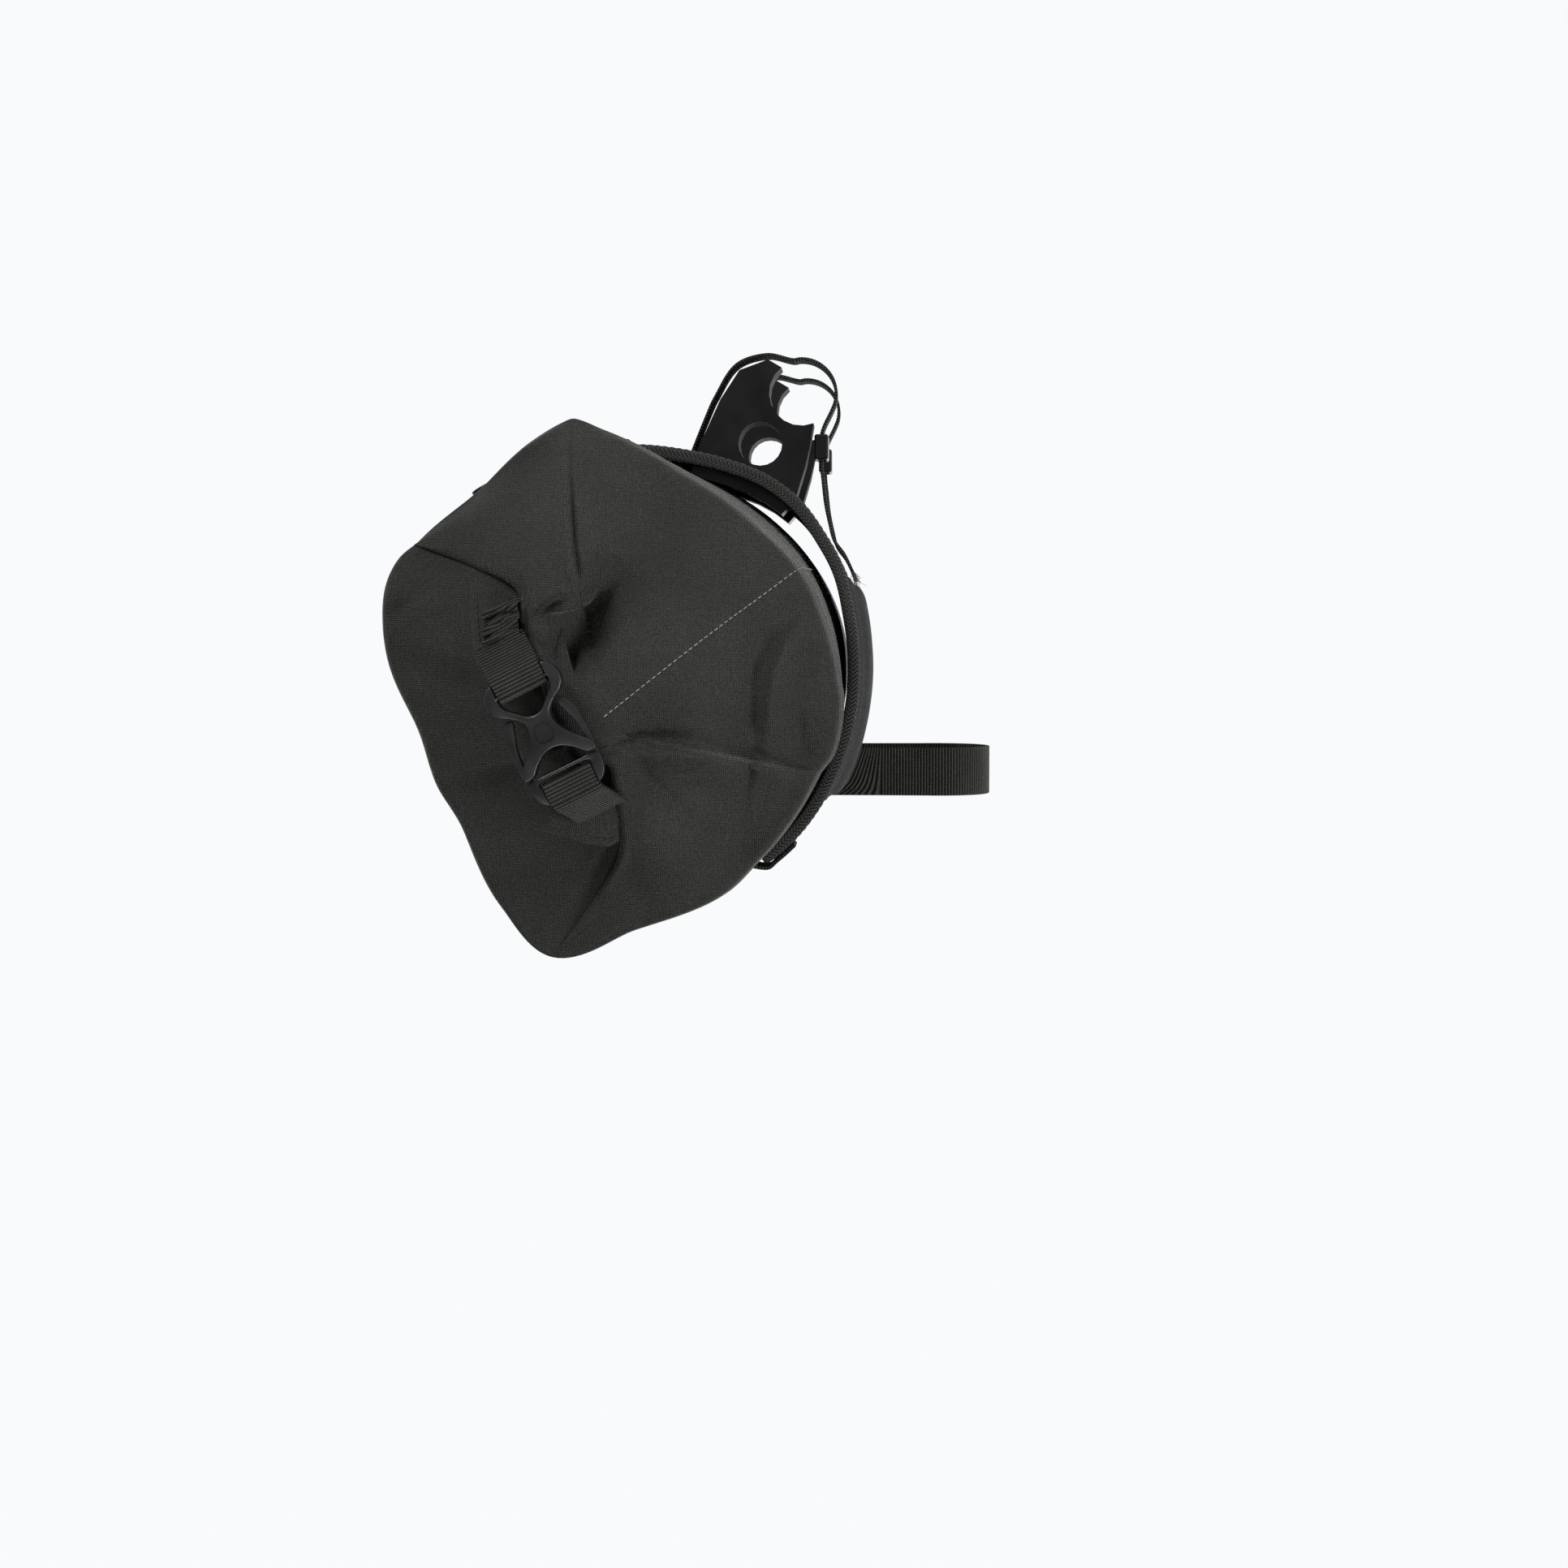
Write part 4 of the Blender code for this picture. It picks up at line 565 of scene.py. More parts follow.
def end_lines(rim, shoulder, bend, edge, ts):
    """Rows of the end at each share of the way from the rim to the edge."""
    lift = shoulder * SHOULDER_HEIGHT / END_HEIGHT
    first = rim + (bend - rim) * 0.05
    first[:, 2] = lift * 0.72
    second = rim + (bend - rim) * 0.22
    second[:, 2] = np.maximum(lift, 0.30 * bend[:, 2])
    knots = np.stack([rim, first, second, bend, edge])
    count = rim.shape[0]
    rows = hermite([0.0, 0.07, 0.16, 0.56, 1.0], knots.reshape(5, -1), ts).reshape(len(ts), count, 3)
    for t, row in zip(ts, rows):
        calm = min(1.0, t / 0.2) * min(1.0, (1.02 - t) / 0.12) * np.minimum(1.0, edge[:, 2] / 0.4)
        row[:, 2] += (reliefs(row, END_RELIEF) + reliefs(row, FINE_FOLDS) + lips(row)) * calm
    return rows


def ripple(points, scale, seed):
    """Smooth irregular swell of a cloth surface, from a few crossed waves."""
    rng = np.random.default_rng(seed)
    total = np.zeros(len(points))
    for _ in range(7):
        wave = rng.normal(size=3)
        wave = wave / np.linalg.norm(wave) / scale * rng.uniform(0.6, 1.7)
        total += np.sin(points @ wave * 2 * np.pi + rng.uniform(0, 2 * np.pi))
    return total / 7


def new_mesh(name, points, faces, uvs=None, material=None, smooth=True, sharp=None):
    mesh = bpy.data.meshes.new(name)
    mesh.from_pydata([tuple(map(float, p)) for p in points], [], [tuple(int(i) for i in f) for f in faces])
    if uvs is not None:
        layer = mesh.uv_layers.new(name="metres")
        flat = np.asarray(uvs, np.float32).reshape(-1)
        layer.data.foreach_set("uv", flat)
    mesh.validate()
    if smooth:
        mesh.shade_smooth()
        if sharp:
            mesh.set_sharp_from_angle(angle=math.radians(sharp))
    made = bpy.data.objects.new(name, mesh)
    bpy.context.scene.collection.objects.link(made)
    if material:
        mesh.materials.append(material)
    return made


def grid_faces(rows, count, closed):
    faces = []
    last = count if closed else count - 1
    for r in range(rows - 1):
        base = r * count
        for i in range(last):
            j = (i + 1) % count
            faces.append((base + i, base + j, base + count + j, base + count + i))
    return faces


def adopt(piece, slot, *nodes):
    """Rides on the one body and stands for the CAD nodes it replaces, which it hides; the slot is not used.
    """
    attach(piece, "root")
    if nodes:
        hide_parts(*nodes)
    return piece


# Materials

def nodes_of(name):
    material = bpy.data.materials.new(name)
    material.use_nodes = True
    tree = material.node_tree
    return material, tree, tree.nodes["Principled BSDF"]


def add(tree, kind, **values):
    node = tree.nodes.new(kind)
    for key, value in values.items():
        setattr(node, key, value)
    return node


def math_node(tree, operation, first, second=None):
    node = add(tree, "ShaderNodeMath", operation=operation)
    for slot_index, value in enumerate((first, second)):
        if value is None:
            continue
        if isinstance(value, (int, float)):
            node.inputs[slot_index].default_value = value
        else:
            tree.links.new(value, node.inputs[slot_index])
    return node.outputs[0]


def uv_parts(tree):
    uv = add(tree, "ShaderNodeUVMap", uv_map="metres")
    split = add(tree, "ShaderNodeSeparateXYZ")
    tree.links.new(uv.outputs[0], split.inputs[0])
    return split.outputs[0], split.outputs[1]


def wave(tree, value, pitch, shift=0.0):
    scaled = math_node(tree, "MULTIPLY", value, 2 * math.pi / pitch)
    if shift:
        scaled = math_node(tree, "ADD", scaled, shift)
    return math_node(tree, "SINE", scaled)


def noise(tree, scale, detail=4.0, roughness=0.55):
    coords = add(tree, "ShaderNodeTexCoord")
    node = add(tree, "ShaderNodeTexNoise")
    node.inputs["Scale"].default_value = scale
    node.inputs["Detail"].default_value = detail
    node.inputs["Roughness"].default_value = roughness
    tree.links.new(coords.outputs["Object"], node.inputs["Vector"])
    return node.outputs["Fac"]


def ramp(tree, value, stops):
    node = add(tree, "ShaderNodeValToRGB")
    elements = node.color_ramp.elements
    while len(elements) < len(stops):
        elements.new(0.5)
    for element, (place, colour) in zip(elements, stops):
        element.position = place
        element.color = (*colour, 1.0)
    tree.links.new(value, node.inputs[0])
    return node.outputs[0]


def span(tree, value, low, high, to_low, to_high):
    node = add(tree, "ShaderNodeMapRange")
    tree.links.new(value, node.inputs["Value"])
    for key, number in (("From Min", low), ("From Max", high), ("To Min", to_low), ("To Max", to_high)):
        node.inputs[key].default_value = number
    return node.outputs[0]


def bump(tree, height, distance, strength, normal=None):
    node = add(tree, "ShaderNodeBump")
    node.inputs["Distance"].default_value = distance
    node.inputs["Strength"].default_value = strength
    tree.links.new(height, node.inputs["Height"])
    if normal:
        tree.links.new(normal, node.inputs["Normal"])
    return node.outputs[0]


def scaled(tree, colour, factor):
    node = add(tree, "ShaderNodeVectorMath", operation="SCALE")
    tree.links.new(colour, node.inputs[0])
    tree.links.new(factor, node.inputs["Scale"])
    return node.outputs[0]


def coated_fabric():
    """Tightly woven fabric under a thin matt coating: staggered thread crossings, rubbed a little pale."""
    material, tree, shader = nodes_of("coated_fabric")
    u, v = uv_parts(tree)
    u = math_node(tree, "ADD", u, span(tree, noise(tree, 330.0, 2.0), 0.3, 0.7, -WEAVE_DRIFT, WEAVE_DRIFT))
    v = math_node(tree, "ADD", v, span(tree, noise(tree, 290.0, 2.0), 0.3, 0.7, -WEAVE_DRIFT, WEAVE_DRIFT))
    first = wave(tree, math_node(tree, "ADD", u, v), WEAVE_PITCH * 2)
    second = wave(tree, math_node(tree, "SUBTRACT", u, v), WEAVE_PITCH * 2)
    weave = math_node(tree, "MULTIPLY", first, second)
    thread = span(tree, weave, -1.0, 1.0, 1 - WEAVE_CONTRAST, 1 + WEAVE_CONTRAST)
    thread = math_node(tree, "MULTIPLY", thread, span(tree, noise(tree, 800.0, 2.0), 0.3, 0.7, 0.72, 1.28))
    blotch = noise(tree, 14.0, 5.0)
    dust = noise(tree, 90.0, 6.0, 0.7)
    colour = ramp(tree, blotch, [
        (0.30, (0.0112, 0.0112, 0.0096)),
        (0.52, (0.0150, 0.0150, 0.0131)),
        (0.75, (0.0198, 0.0197, 0.0175)),
    ])
    tree.links.new(scaled(tree, colour, thread), shader.inputs["Base Color"])
    tree.links.new(span(tree, dust, 0.3, 0.7, 0.50, 0.62), shader.inputs["Roughness"])
    shader.inputs["Specular IOR Level"].default_value = 0.13
    shader.inputs["Sheen Weight"].default_value = 0.16
    shader.inputs["Sheen Roughness"].default_value = 0.32
    shader.inputs["Sheen Tint"].default_value = (0.80, 0.81, 0.75, 1.0)
    normal = bump(tree, weave, 0.00025, 0.7)
    normal = bump(tree, noise(tree, 260.0, 3.0), 0.0004, 0.18, normal)
    tree.links.new(normal, shader.inputs["Normal"])
    return material


def webbing_material(name, rib_pitch, tone):
    """Woven strap: ribs across, with fine threads along it; its colour carries painted shade in the rib
    grooves and a painted highlight on the rib crests.
    """
    material, tree, shader = nodes_of(name)
    u, v = uv_parts(tree)
    rib = wave(tree, u, rib_pitch)
    round_rib = math_node(tree, "POWER", span(tree, rib, -1.0, 1.0, 0.0, 1.0), 0.8)
    thread = wave(tree, v, 0.00124)
    fuzz = noise(tree, 700.0, 4.0, 0.7)
    wear = noise(tree, 55.0, 3.0)
    height = math_node(tree, "ADD", round_rib, math_node(tree, "MULTIPLY", thread, 0.14))
    # Painted shade and painted highlight: the rib height darkens the colour in the grooves and lightens it on
    # the crests; the wear noise adds real uneven tone.
    shade = math_node(
        tree, "ADD", math_node(tree, "MULTIPLY", round_rib, 0.75), math_node(tree, "MULTIPLY", fuzz, 0.25)
    )
    light = math_node(
        tree, "MULTIPLY", span(tree, shade, 0.20, 0.85, 0.04, 2.0), span(tree, wear, 0.3, 0.7, 0.75, 1.2)
    )
    colour = ramp(tree, fuzz, [
        (0.30, tuple(tone * c for c in (0.75, 0.75, 0.66))),
        (0.70, tuple(tone * c for c in (1.25, 1.25, 1.10))),
    ])
    tree.links.new(scaled(tree, colour, light), shader.inputs["Base Color"])
    shader.inputs["Roughness"].default_value = 0.60
    shader.inputs["Specular IOR Level"].default_value = 0.14
    shader.inputs["Sheen Weight"].default_value = 0.06
    shader.inputs["Sheen Roughness"].default_value = 0.4
    shader.inputs["Sheen Tint"].default_value = (0.80, 0.80, 0.74, 1.0)
    normal = bump(tree, height, 0.0010, 1.0)
    normal = bump(tree, fuzz, 0.0002, 0.3, normal)
    tree.links.new(normal, shader.inputs["Normal"])
    return material


def twill_material():
    """Herringbone tape that binds the harness edge."""
    material, tree, shader = nodes_of("binding_tape")
    u, v = uv_parts(tree)
    bent = math_node(tree, "PINGPONG", v, 0.0022)
    twill = wave(tree, math_node(tree, "ADD", u, bent), 0.0021)
    fuzz = noise(tree, 800.0, 4.0, 0.7)
    shade = math_node(
        tree, "ADD", span(tree, twill, -1.0, 1.0, 0.0, 0.5), math_node(tree, "MULTIPLY", fuzz, 0.6)
    )
    colour = ramp(
        tree, shade,
        [(0.2, (0.001, 0.001, 0.001)), (0.55, (0.008, 0.008, 0.007)), (0.9, (0.036, 0.036, 0.032))]
    )
    tree.links.new(colour, shader.inputs["Base Color"])
    shader.inputs["Roughness"].default_value = 0.75
    shader.inputs["Specular IOR Level"].default_value = 0.3
    shader.inputs["Sheen Weight"].default_value = 0.05
    shader.inputs["Sheen Roughness"].default_value = 0.4
    tree.links.new(bump(tree, twill, 0.0005, 1.0), shader.inputs["Normal"])
    return material


def plastic_material(name, roughness, tone, shine):
    """Moulded nylon: fine spark texture, slightly uneven gloss."""
    material, tree, shader = nodes_of(name)
    grain = noise(tree, 1500.0, 2.0)
    wide = noise(tree, 60.0, 4.0)
    colour = ramp(tree, wide, [(0.3, (tone * 0.8,) * 3), (0.7, (tone * 1.3,) * 3)])
    tree.links.new(colour, shader.inputs["Base Color"])
    tree.links.new(span(tree, wide, 0.3, 0.7, roughness - 0.06, roughness + 0.08), shader.inputs["Roughness"])
    shader.inputs["Specular IOR Level"].default_value = shine
    tree.links.new(bump(tree, grain, 0.00008, 0.35), shader.inputs["Normal"])
    return material


def plain_weave(name, tone, pitch):
    material, tree, shader = nodes_of(name)
    u, v = uv_parts(tree)
    weave = math_node(tree, "MULTIPLY", wave(tree, u, pitch), wave(tree, v, pitch))
    fuzz = noise(tree, 300.0, 5.0, 0.65)
    shade = math_node(tree, "ADD", math_node(tree, "MULTIPLY", weave, 0.15), fuzz)
    colour = ramp(tree, shade, [(0.3, (tone * 0.6,) * 3), (0.7, (tone * 1.4,) * 3)])
    tree.links.new(colour, shader.inputs["Base Color"])
    shader.inputs["Roughness"].default_value = 0.7
    shader.inputs["Specular IOR Level"].default_value = 0.3
    shader.inputs["Sheen Weight"].default_value = 0.10
    shader.inputs["Sheen Roughness"].default_value = 0.4
    tree.links.new(bump(tree, weave, 0.0003, 0.6), shader.inputs["Normal"])
    return material


def thread_material(name, tone):
    material, tree, shader = nodes_of(name)
    colour = ramp(tree, noise(tree, 900.0), [(0.3, tuple(c * 0.7 for c in tone)), (0.7, tone)])
    tree.links.new(colour, shader.inputs["Base Color"])
    shader.inputs["Roughness"].default_value = 0.7
    return material


FABRIC = coated_fabric()
WEBBING = webbing_material("webbing", RIB_PITCH, 0.0135)
TAPE = twill_material()
PLASTIC = plastic_material("black_plastic", 0.36, 0.0050, 0.40)
GLOSSY = plastic_material("glossy_plastic", 0.18, 0.004, 0.45)
PANEL = plain_weave("harness_fabric", 0.009, 0.0012)
PAD_CLOTH = plain_weave("pad_fabric", 0.014, 0.0013)
SPACER = plastic_material("spacer_plastic", 0.48, 0.0030, 0.16)
PALE_THREAD = thread_material("seam_thread", (0.16, 0.155, 0.13))
TAB_THREAD = thread_material("tab_thread", (0.0030, 0.0030, 0.0026))
DARK_THREAD = thread_material("dark_thread", (0.035, 0.035, 0.033))


# Bag

def build_bag():
    over = spread(FINE_OVER)
    under = spread(FINE_UNDER)[1:-1][::-1]
    under_low = np.where(under > 180, under - 360, under)
    angles = np.concatenate([over, under_low])
    points = []
    uvs = []

    dome = [row for row in reversed(FAR_END)]
    far = [(0.0, 1.0)] + [(row["girth"], row["dome"]) for row in dome] + [(1.0, 0.0)]
    far_rows = hermite(np.linspace(0, 1, len(far)), np.array(far), np.linspace(0.12, 1, 16))
    for girth, height in far_rows[:-1]:
        y = BAG_LENGTH / 2 + height * FAR_DOME
        points.append(around(angles, body_reach(angles, 1.0) * girth, y))
    alongs = np.linspace(1.0, 0.0, FINE_BODY_ROWS) ** 1.15
    for along in alongs:
        points.append(around(angles, body_reach(angles, along), (along - 0.5) * BAG_LENGTH))
    body_rows = len(points)
    ts = np.concatenate([np.linspace(0, 0.2, 30)[1:], np.linspace(0.2, 1.0, FINE_END_ROWS - 29)[1:]])

    edge_at = columns(OVER_LINES, "angle", ("edge",), over)[:, 0]
    edge_at[0] = 0.0
    edge_at[-1] = 1.0
    fold = fold_points(edge_at)
    side = fold_sides(edge_at)
    curl = hem_ramps(edge_at) * HEM_STEP * 0.42
    inset = fold.copy()
    inset[:, :2] += side * (curl / BAG_RADIUS)[:, None]
    bend = columns(OVER_LINES, "angle", ("across", "up", "height"), over)
    shoulder = columns(OVER_LINES, "angle", ("shoulder",), over)[:, 0]
    over_rows = end_lines(rims(over), shoulder, bend, inset, ts)

    under_at = columns(UNDER_LINES, "angle", ("edge",), np.clip(under, 144, 257))[:, 0]
    under_fold = fold_points(under_at)
    under_side = fold_sides(under_at)
    ramps = hem_ramps(under_at)
    tuck = under_fold.copy()
    tuck[:, :2] += under_side * (ramps * (HEM_OVERHANG + RETURN_LENGTH * 0.5) / BAG_RADIUS)[:, None]
    tuck[:, 2] -= ramps * HEM_STEP * 0.95 / END_HEIGHT
    rim = rims(under)
    lift = columns(UNDER_LINES, "angle", ("lift", "shoulder"), under)
    under_bend = rim + (tuck - rim) * 0.5
    under_bend[:, 2] = tuck[:, 2] * lift[:, 0]
    under_rows = end_lines(rim, lift[:, 1], under_bend, tuck, ts)

    for k in range(len(ts)):
        points.append(end_points(np.concatenate([over_rows[k], under_rows[k]])))
    points = np.array(points)
    flat = points.reshape(-1, 3)
    swell = ripple(flat, 0.085, 3) * 0.0011 + ripple(flat, 0.030, 5) * 0.00028
    rows, cols = points.shape[:2]
    along_rows = np.repeat(np.arange(rows), cols)
    axis_out = flat - np.array([-BAG_REACH, 0, -BAG_DROP])
    axis_out[:, 1] = 0
    axis_out /= np.maximum(np.linalg.norm(axis_out, axis=1), 1e-6)[:, None]
    is_end = along_rows >= body_rows
    flat[~is_end] += axis_out[~is_end] * (
        swell[~is_end] * np.minimum(1, (body_rows - along_rows[~is_end]) / 8)
    )[:, None]
    ease = (
        np.minimum(1, (along_rows[is_end] - body_rows) / 24)
        * np.minimum(1, (rows - 1 - along_rows[is_end]) / 10)
    )
    flat[is_end, 1] -= swell[is_end] * ease * 0.8
    points = flat.reshape(rows, cols, 3)

    all_points = list(points.reshape(-1, 3))
    faces = grid_faces(rows, cols, True)
    far_count = len(far_rows) - 1
    kinds = ["body" if far_count - 1 < f[0] // cols < body_rows - 1 else "end" for f in faces]
    centre = len(all_points)
    all_points.append(np.array([-BAG_REACH, BAG_LENGTH / 2 + FAR_DOME, -BAG_DROP]))
    for i in range(cols):
        faces.append((centre, (i + 1) % cols, i))
        kinds.append("end")

    last = (rows - 1) * cols
    previous = [last + i for i in range(len(over))]
    curl_rows = np.linspace(0, math.pi, CURL_ROWS + 1)[1:]
    top = end_points(inset)
    out = np.stack([-side[:, 0], np.zeros(len(side)), -side[:, 1]], axis=1)
    rings = []
    for turn in curl_rows:
        ring = top + out * (curl * math.sin(turn))[:, None]
        ring[:, 1] += curl * (1 - math.cos(turn))
        rings.append(ring)
    back = rings[-1] - out * (hem_ramps(edge_at) * RETURN_LENGTH)[:, None]
    rings.append(back)
    for ring in rings:
        ids = list(range(len(all_points), len(all_points) + len(over)))
        all_points.extend(ring)
        for i in range(len(over) - 1):
            faces.append((previous[i], previous[i + 1], ids[i + 1], ids[i]))
            kinds.append("end")
        previous = ids

    places = np.array(all_points)
    turn = np.concatenate([np.radians(angles)] * rows)
    for face, kind in zip(faces, kinds):
        if kind == "end":
            for i in face:
                uvs.append((places[i][0], places[i][2]))
        else:
            turns = [turn[i] for i in face]
            base = turns[0]
            for i, a in zip(face, turns):
                a = a + 2 * math.pi * round((base - a) / (2 * math.pi))
                uvs.append((a * BAG_RADIUS, places[i][1]))
    piece = new_mesh("bag_cloth", places, faces, uvs, FABRIC)
    worker = bmesh.new()
    worker.from_mesh(piece.data)
    bmesh.ops.recalc_face_normals(worker, faces=worker.faces)
    worker.to_mesh(piece.data)
    worker.free()
    return adopt(piece, "coated_fabric", "bag_shell")


def surface_tree(piece):
    mesh = piece.data
    return BVHTree.FromPolygons([v.co for v in mesh.vertices], [p.vertices for p in mesh.polygons])


def on_end(tree, x, z):
    """Point and normal of the bag's end straight behind a place in its plane."""
    hit, normal, _, _ = tree.ray_cast(Vector((x, -0.5, z)), Vector((0, 1, 0)))
    return hit, normal


def stitches(name, path, length, gap, radius, material, slot, normals=None):
    """Row of short raised stitches along a path."""
    points = []
    faces = []
    path = [Vector(p) for p in path]
    cumulative = [0.0]
    for a, b in zip(path, path[1:]):
        cumulative.append(cumulative[-1] + (b - a).length)
    total = cumulative[-1]

    def at(distance):
        i = min(max(int(np.searchsorted(cumulative, distance)) - 1, 0), len(path) - 2)
        width = max(cumulative[i + 1] - cumulative[i], 1e-9)
        share = (distance - cumulative[i]) / width
        normal = normals[i] if normals else Vector((0, -1, 0))
        return path[i].lerp(path[i + 1], share), normal

    place = 0.0
    while place + length < total:
        start, normal = at(place)
        end, _ = at(place + length)
        run = (end - start).normalized()
        side = run.cross(normal).normalized()
        base = len(points)
        for share, size in ((0.0, 0.25), (0.15, 0.85), (0.5, 1.0), (0.85, 0.85), (1.0, 0.25)):
            middle = start.lerp(end, share) + normal * (radius * 0.35 * size)
            for k in range(6):
                turn = math.pi * 2 * k / 6
                points.append(middle + (side * math.cos(turn) + normal * math.sin(turn)) * radius * size)
        for r in range(4):
            for k in range(6):
                m = (k + 1) % 6
                faces.append((base + r * 6 + k, base + r * 6 + m, base + r * 6 + 6 + m, base + r * 6 + 6 + k))
        faces.append(tuple(base + k for k in range(6)))
        faces.append(tuple(base + 24 + k for k in reversed(range(6))))
        place += length + gap
    piece = new_mesh(name, points, faces, None, material)
    return adopt(piece, slot)


# Straps

def smooth_path(path, steps):
    """Finer path through the same points."""
    path = np.array([list(p) for p in path], float)
    marks = np.concatenate([[0], np.cumsum(np.linalg.norm(np.diff(path, axis=0), axis=1))])
    return hermite(marks, path, np.linspace(0, marks[-1], steps))


def ribbon(name, path, side, width, thickness, material, slot, nodes, steps=120, edge=0.0003, inner=8,
           widths=None, shear=None, lifts=None):
    """Thin rounded band along a path, its width along one fixed direction, with real lengths as UVs."""
    path = smooth_path(path, steps)
    side = np.array(side, float)
    side /= np.linalg.norm(side)
    run = np.gradient(path, axis=0)
    run /= np.linalg.norm(run, axis=1)[:, None]
    face = np.cross(run, side)
    face /= np.linalg.norm(face, axis=1)[:, None]
    marks = np.concatenate([[0], np.cumsum(np.linalg.norm(np.diff(path, axis=0), axis=1))])
    half = width / 2
    thin = thickness / 2
    profile = [(-half + edge, thin)]
    for k in range(1, inner):
        profile.append((-half + edge + (width - 2 * edge) * k / inner, thin))
    profile += [(half - edge, thin), (half, thin * 0.45), (half, -thin * 0.45), (half - edge, -thin)]
    for k in range(1, inner):
        profile.append((half - edge - (width - 2 * edge) * k / inner, -thin))
    profile += [(-half + edge, -thin), (-half, -thin * 0.45), (-half, thin * 0.45)]
    count = len(profile)
    points = []
    for p, f, r, mark in zip(path, face, run, marks):
        wide = widths(mark) if widths else 1.0
        for across, up in profile:
            slide = shear(mark, across / width + 0.5, marks[-1]) if shear else 0.0
            lift = lifts(mark, across / width + 0.5) if lifts else 0.0
            points.append(p + side * across * wide + f * (up + lift) + np.array([slide, 0.0, 0.0]))
    faces = []
    uvs = []
    across_uv = np.concatenate([[0], np.cumsum([
        math.hypot(profile[(k + 1) % count][0] - profile[k][0], profile[(k + 1) % count][1] - profile[k][1])
        for k in range(count)
    ])])
    for i in range(len(path) - 1):
        for k in range(count):
            m = (k + 1) % count
            faces.append((i * count + k, i * count + m, (i + 1) * count + m, (i + 1) * count + k))
            uvs += [
                (marks[i], across_uv[k]), (marks[i], across_uv[k + 1]),
                (marks[i + 1], across_uv[k + 1]), (marks[i + 1], across_uv[k]),
            ]
    faces.append(tuple(reversed(range(count))))
    uvs += [(marks[0] + profile[k][1], profile[k][0]) for k in reversed(range(count))]
    faces.append(tuple((len(path) - 1) * count + k for k in range(count)))
    uvs += [(marks[-1] + profile[k][1], profile[k][0]) for k in range(count)]
    piece = new_mesh(name, points, faces, uvs, material, True, 50)
    worker = bmesh.new()
    worker.from_mesh(piece.data)
    bmesh.ops.recalc_face_normals(worker, faces=worker.faces)
    worker.to_mesh(piece.data)
    worker.free()
    return adopt(piece, slot, *nodes)


def build_studio():
    scene = bpy.context.scene
    scene.view_settings.view_transform = "Standard"
    world = bpy.data.worlds.new("studio")
    scene.world = world
    world.use_nodes = True
    tree = world.node_tree
    background = tree.nodes["Background"]
    coords = add(tree, "ShaderNodeTexCoord")
    split = add(tree, "ShaderNodeSeparateXYZ")
    tree.links.new(coords.outputs["Generated"], split.inputs[0])
    front = span(tree, split.outputs[1], -1.0, 0.4, 0.28, 1.05)
    high = span(tree, split.outputs[2], -0.7, 0.5, 0.85, 1.0)
    side = span(tree, split.outputs[0], -0.9, 0.2, 0.45, 1.0)
    strength = math_node(tree, "MULTIPLY", math_node(tree, "MULTIPLY", front, high), side)
    rays = add(tree, "ShaderNodeLightPath")
    shown = math_node(tree, "MULTIPLY", rays.outputs["Is Camera Ray"], PAPER_TONE)
    unseen = math_node(tree, "SUBTRACT", 1.0, rays.outputs["Is Camera Ray"])
    strength = math_node(tree, "ADD", math_node(tree, "MULTIPLY", strength, unseen), shown)
    tree.links.new(strength, background.inputs["Strength"])
    background.inputs["Color"].default_value = PAPER_COLOUR

    floor = new_mesh("studio_floor", *cyclorama(), None, None)
    material, shader_tree, shader = nodes_of("paper")
    coords = add(shader_tree, "ShaderNodeTexCoord")
    split = add(shader_tree, "ShaderNodeSeparateXYZ")
    shader_tree.links.new(coords.outputs["Object"], split.inputs[0])
    rays = add(shader_tree, "ShaderNodeLightPath")
    glow = span(shader_tree, split.outputs[1], 0.7, 1.05, 0.18, PAPER_TONE)
    glow = math_node(shader_tree, "MAXIMUM", glow, math_node(
        shader_tree, "MULTIPLY", rays.outputs["Is Camera Ray"], PAPER_TONE,
    ))
    shader_tree.links.new(glow, shader.inputs["Emission Strength"])
    shader.inputs["Base Color"].default_value = (0.01, 0.01, 0.01, 1.0)
    shader.inputs["Specular IOR Level"].default_value = 0.0
    shader.inputs["Roughness"].default_value = 0.9
    shader.inputs["Emission Color"].default_value = PAPER_COLOUR
    floor.data.materials.append(material)

    def area(name, place, target, size, power):
        light = bpy.data.lights.new(name, "AREA")
        light.shape = "RECTANGLE"
        light.size, light.size_y = size
        light.energy = power
        holder = bpy.data.objects.new(name, light)
        scene.collection.objects.link(holder)
        holder.location = place
        holder.rotation_euler = (Vector(target) - Vector(place)).to_track_quat("-Z", "Y").to_euler()

    target = (-0.05, -0.1, -0.15)
    area("key_left", (-0.90, -1.15, 1.20), target, (0.6, 0.6), 36.0)
    area("low_left", (-0.10, -1.25, -1.05), target, (0.7, 0.5), 23.0)
    area("fill_right", (1.20, -1.05, -0.55), target, (0.5, 0.9), 29.0)

    camera = bpy.data.cameras.new("photo_camera")
    camera.lens = LENS_MM
    camera.sensor_width = SENSOR_MM
    camera.sensor_fit = "HORIZONTAL"
    camera.clip_end = 50
    holder = bpy.data.objects.new("photo_camera", camera)
    scene.collection.objects.link(holder)
    holder.location = CAMERA_PLACE
    aim = Vector((-math.tan(math.radians(CAMERA_YAW)), 1.0, math.tan(math.radians(CAMERA_PITCH))))
    holder.rotation_euler = aim.to_track_quat("-Z", "Y").to_euler()
    scene.camera = holder


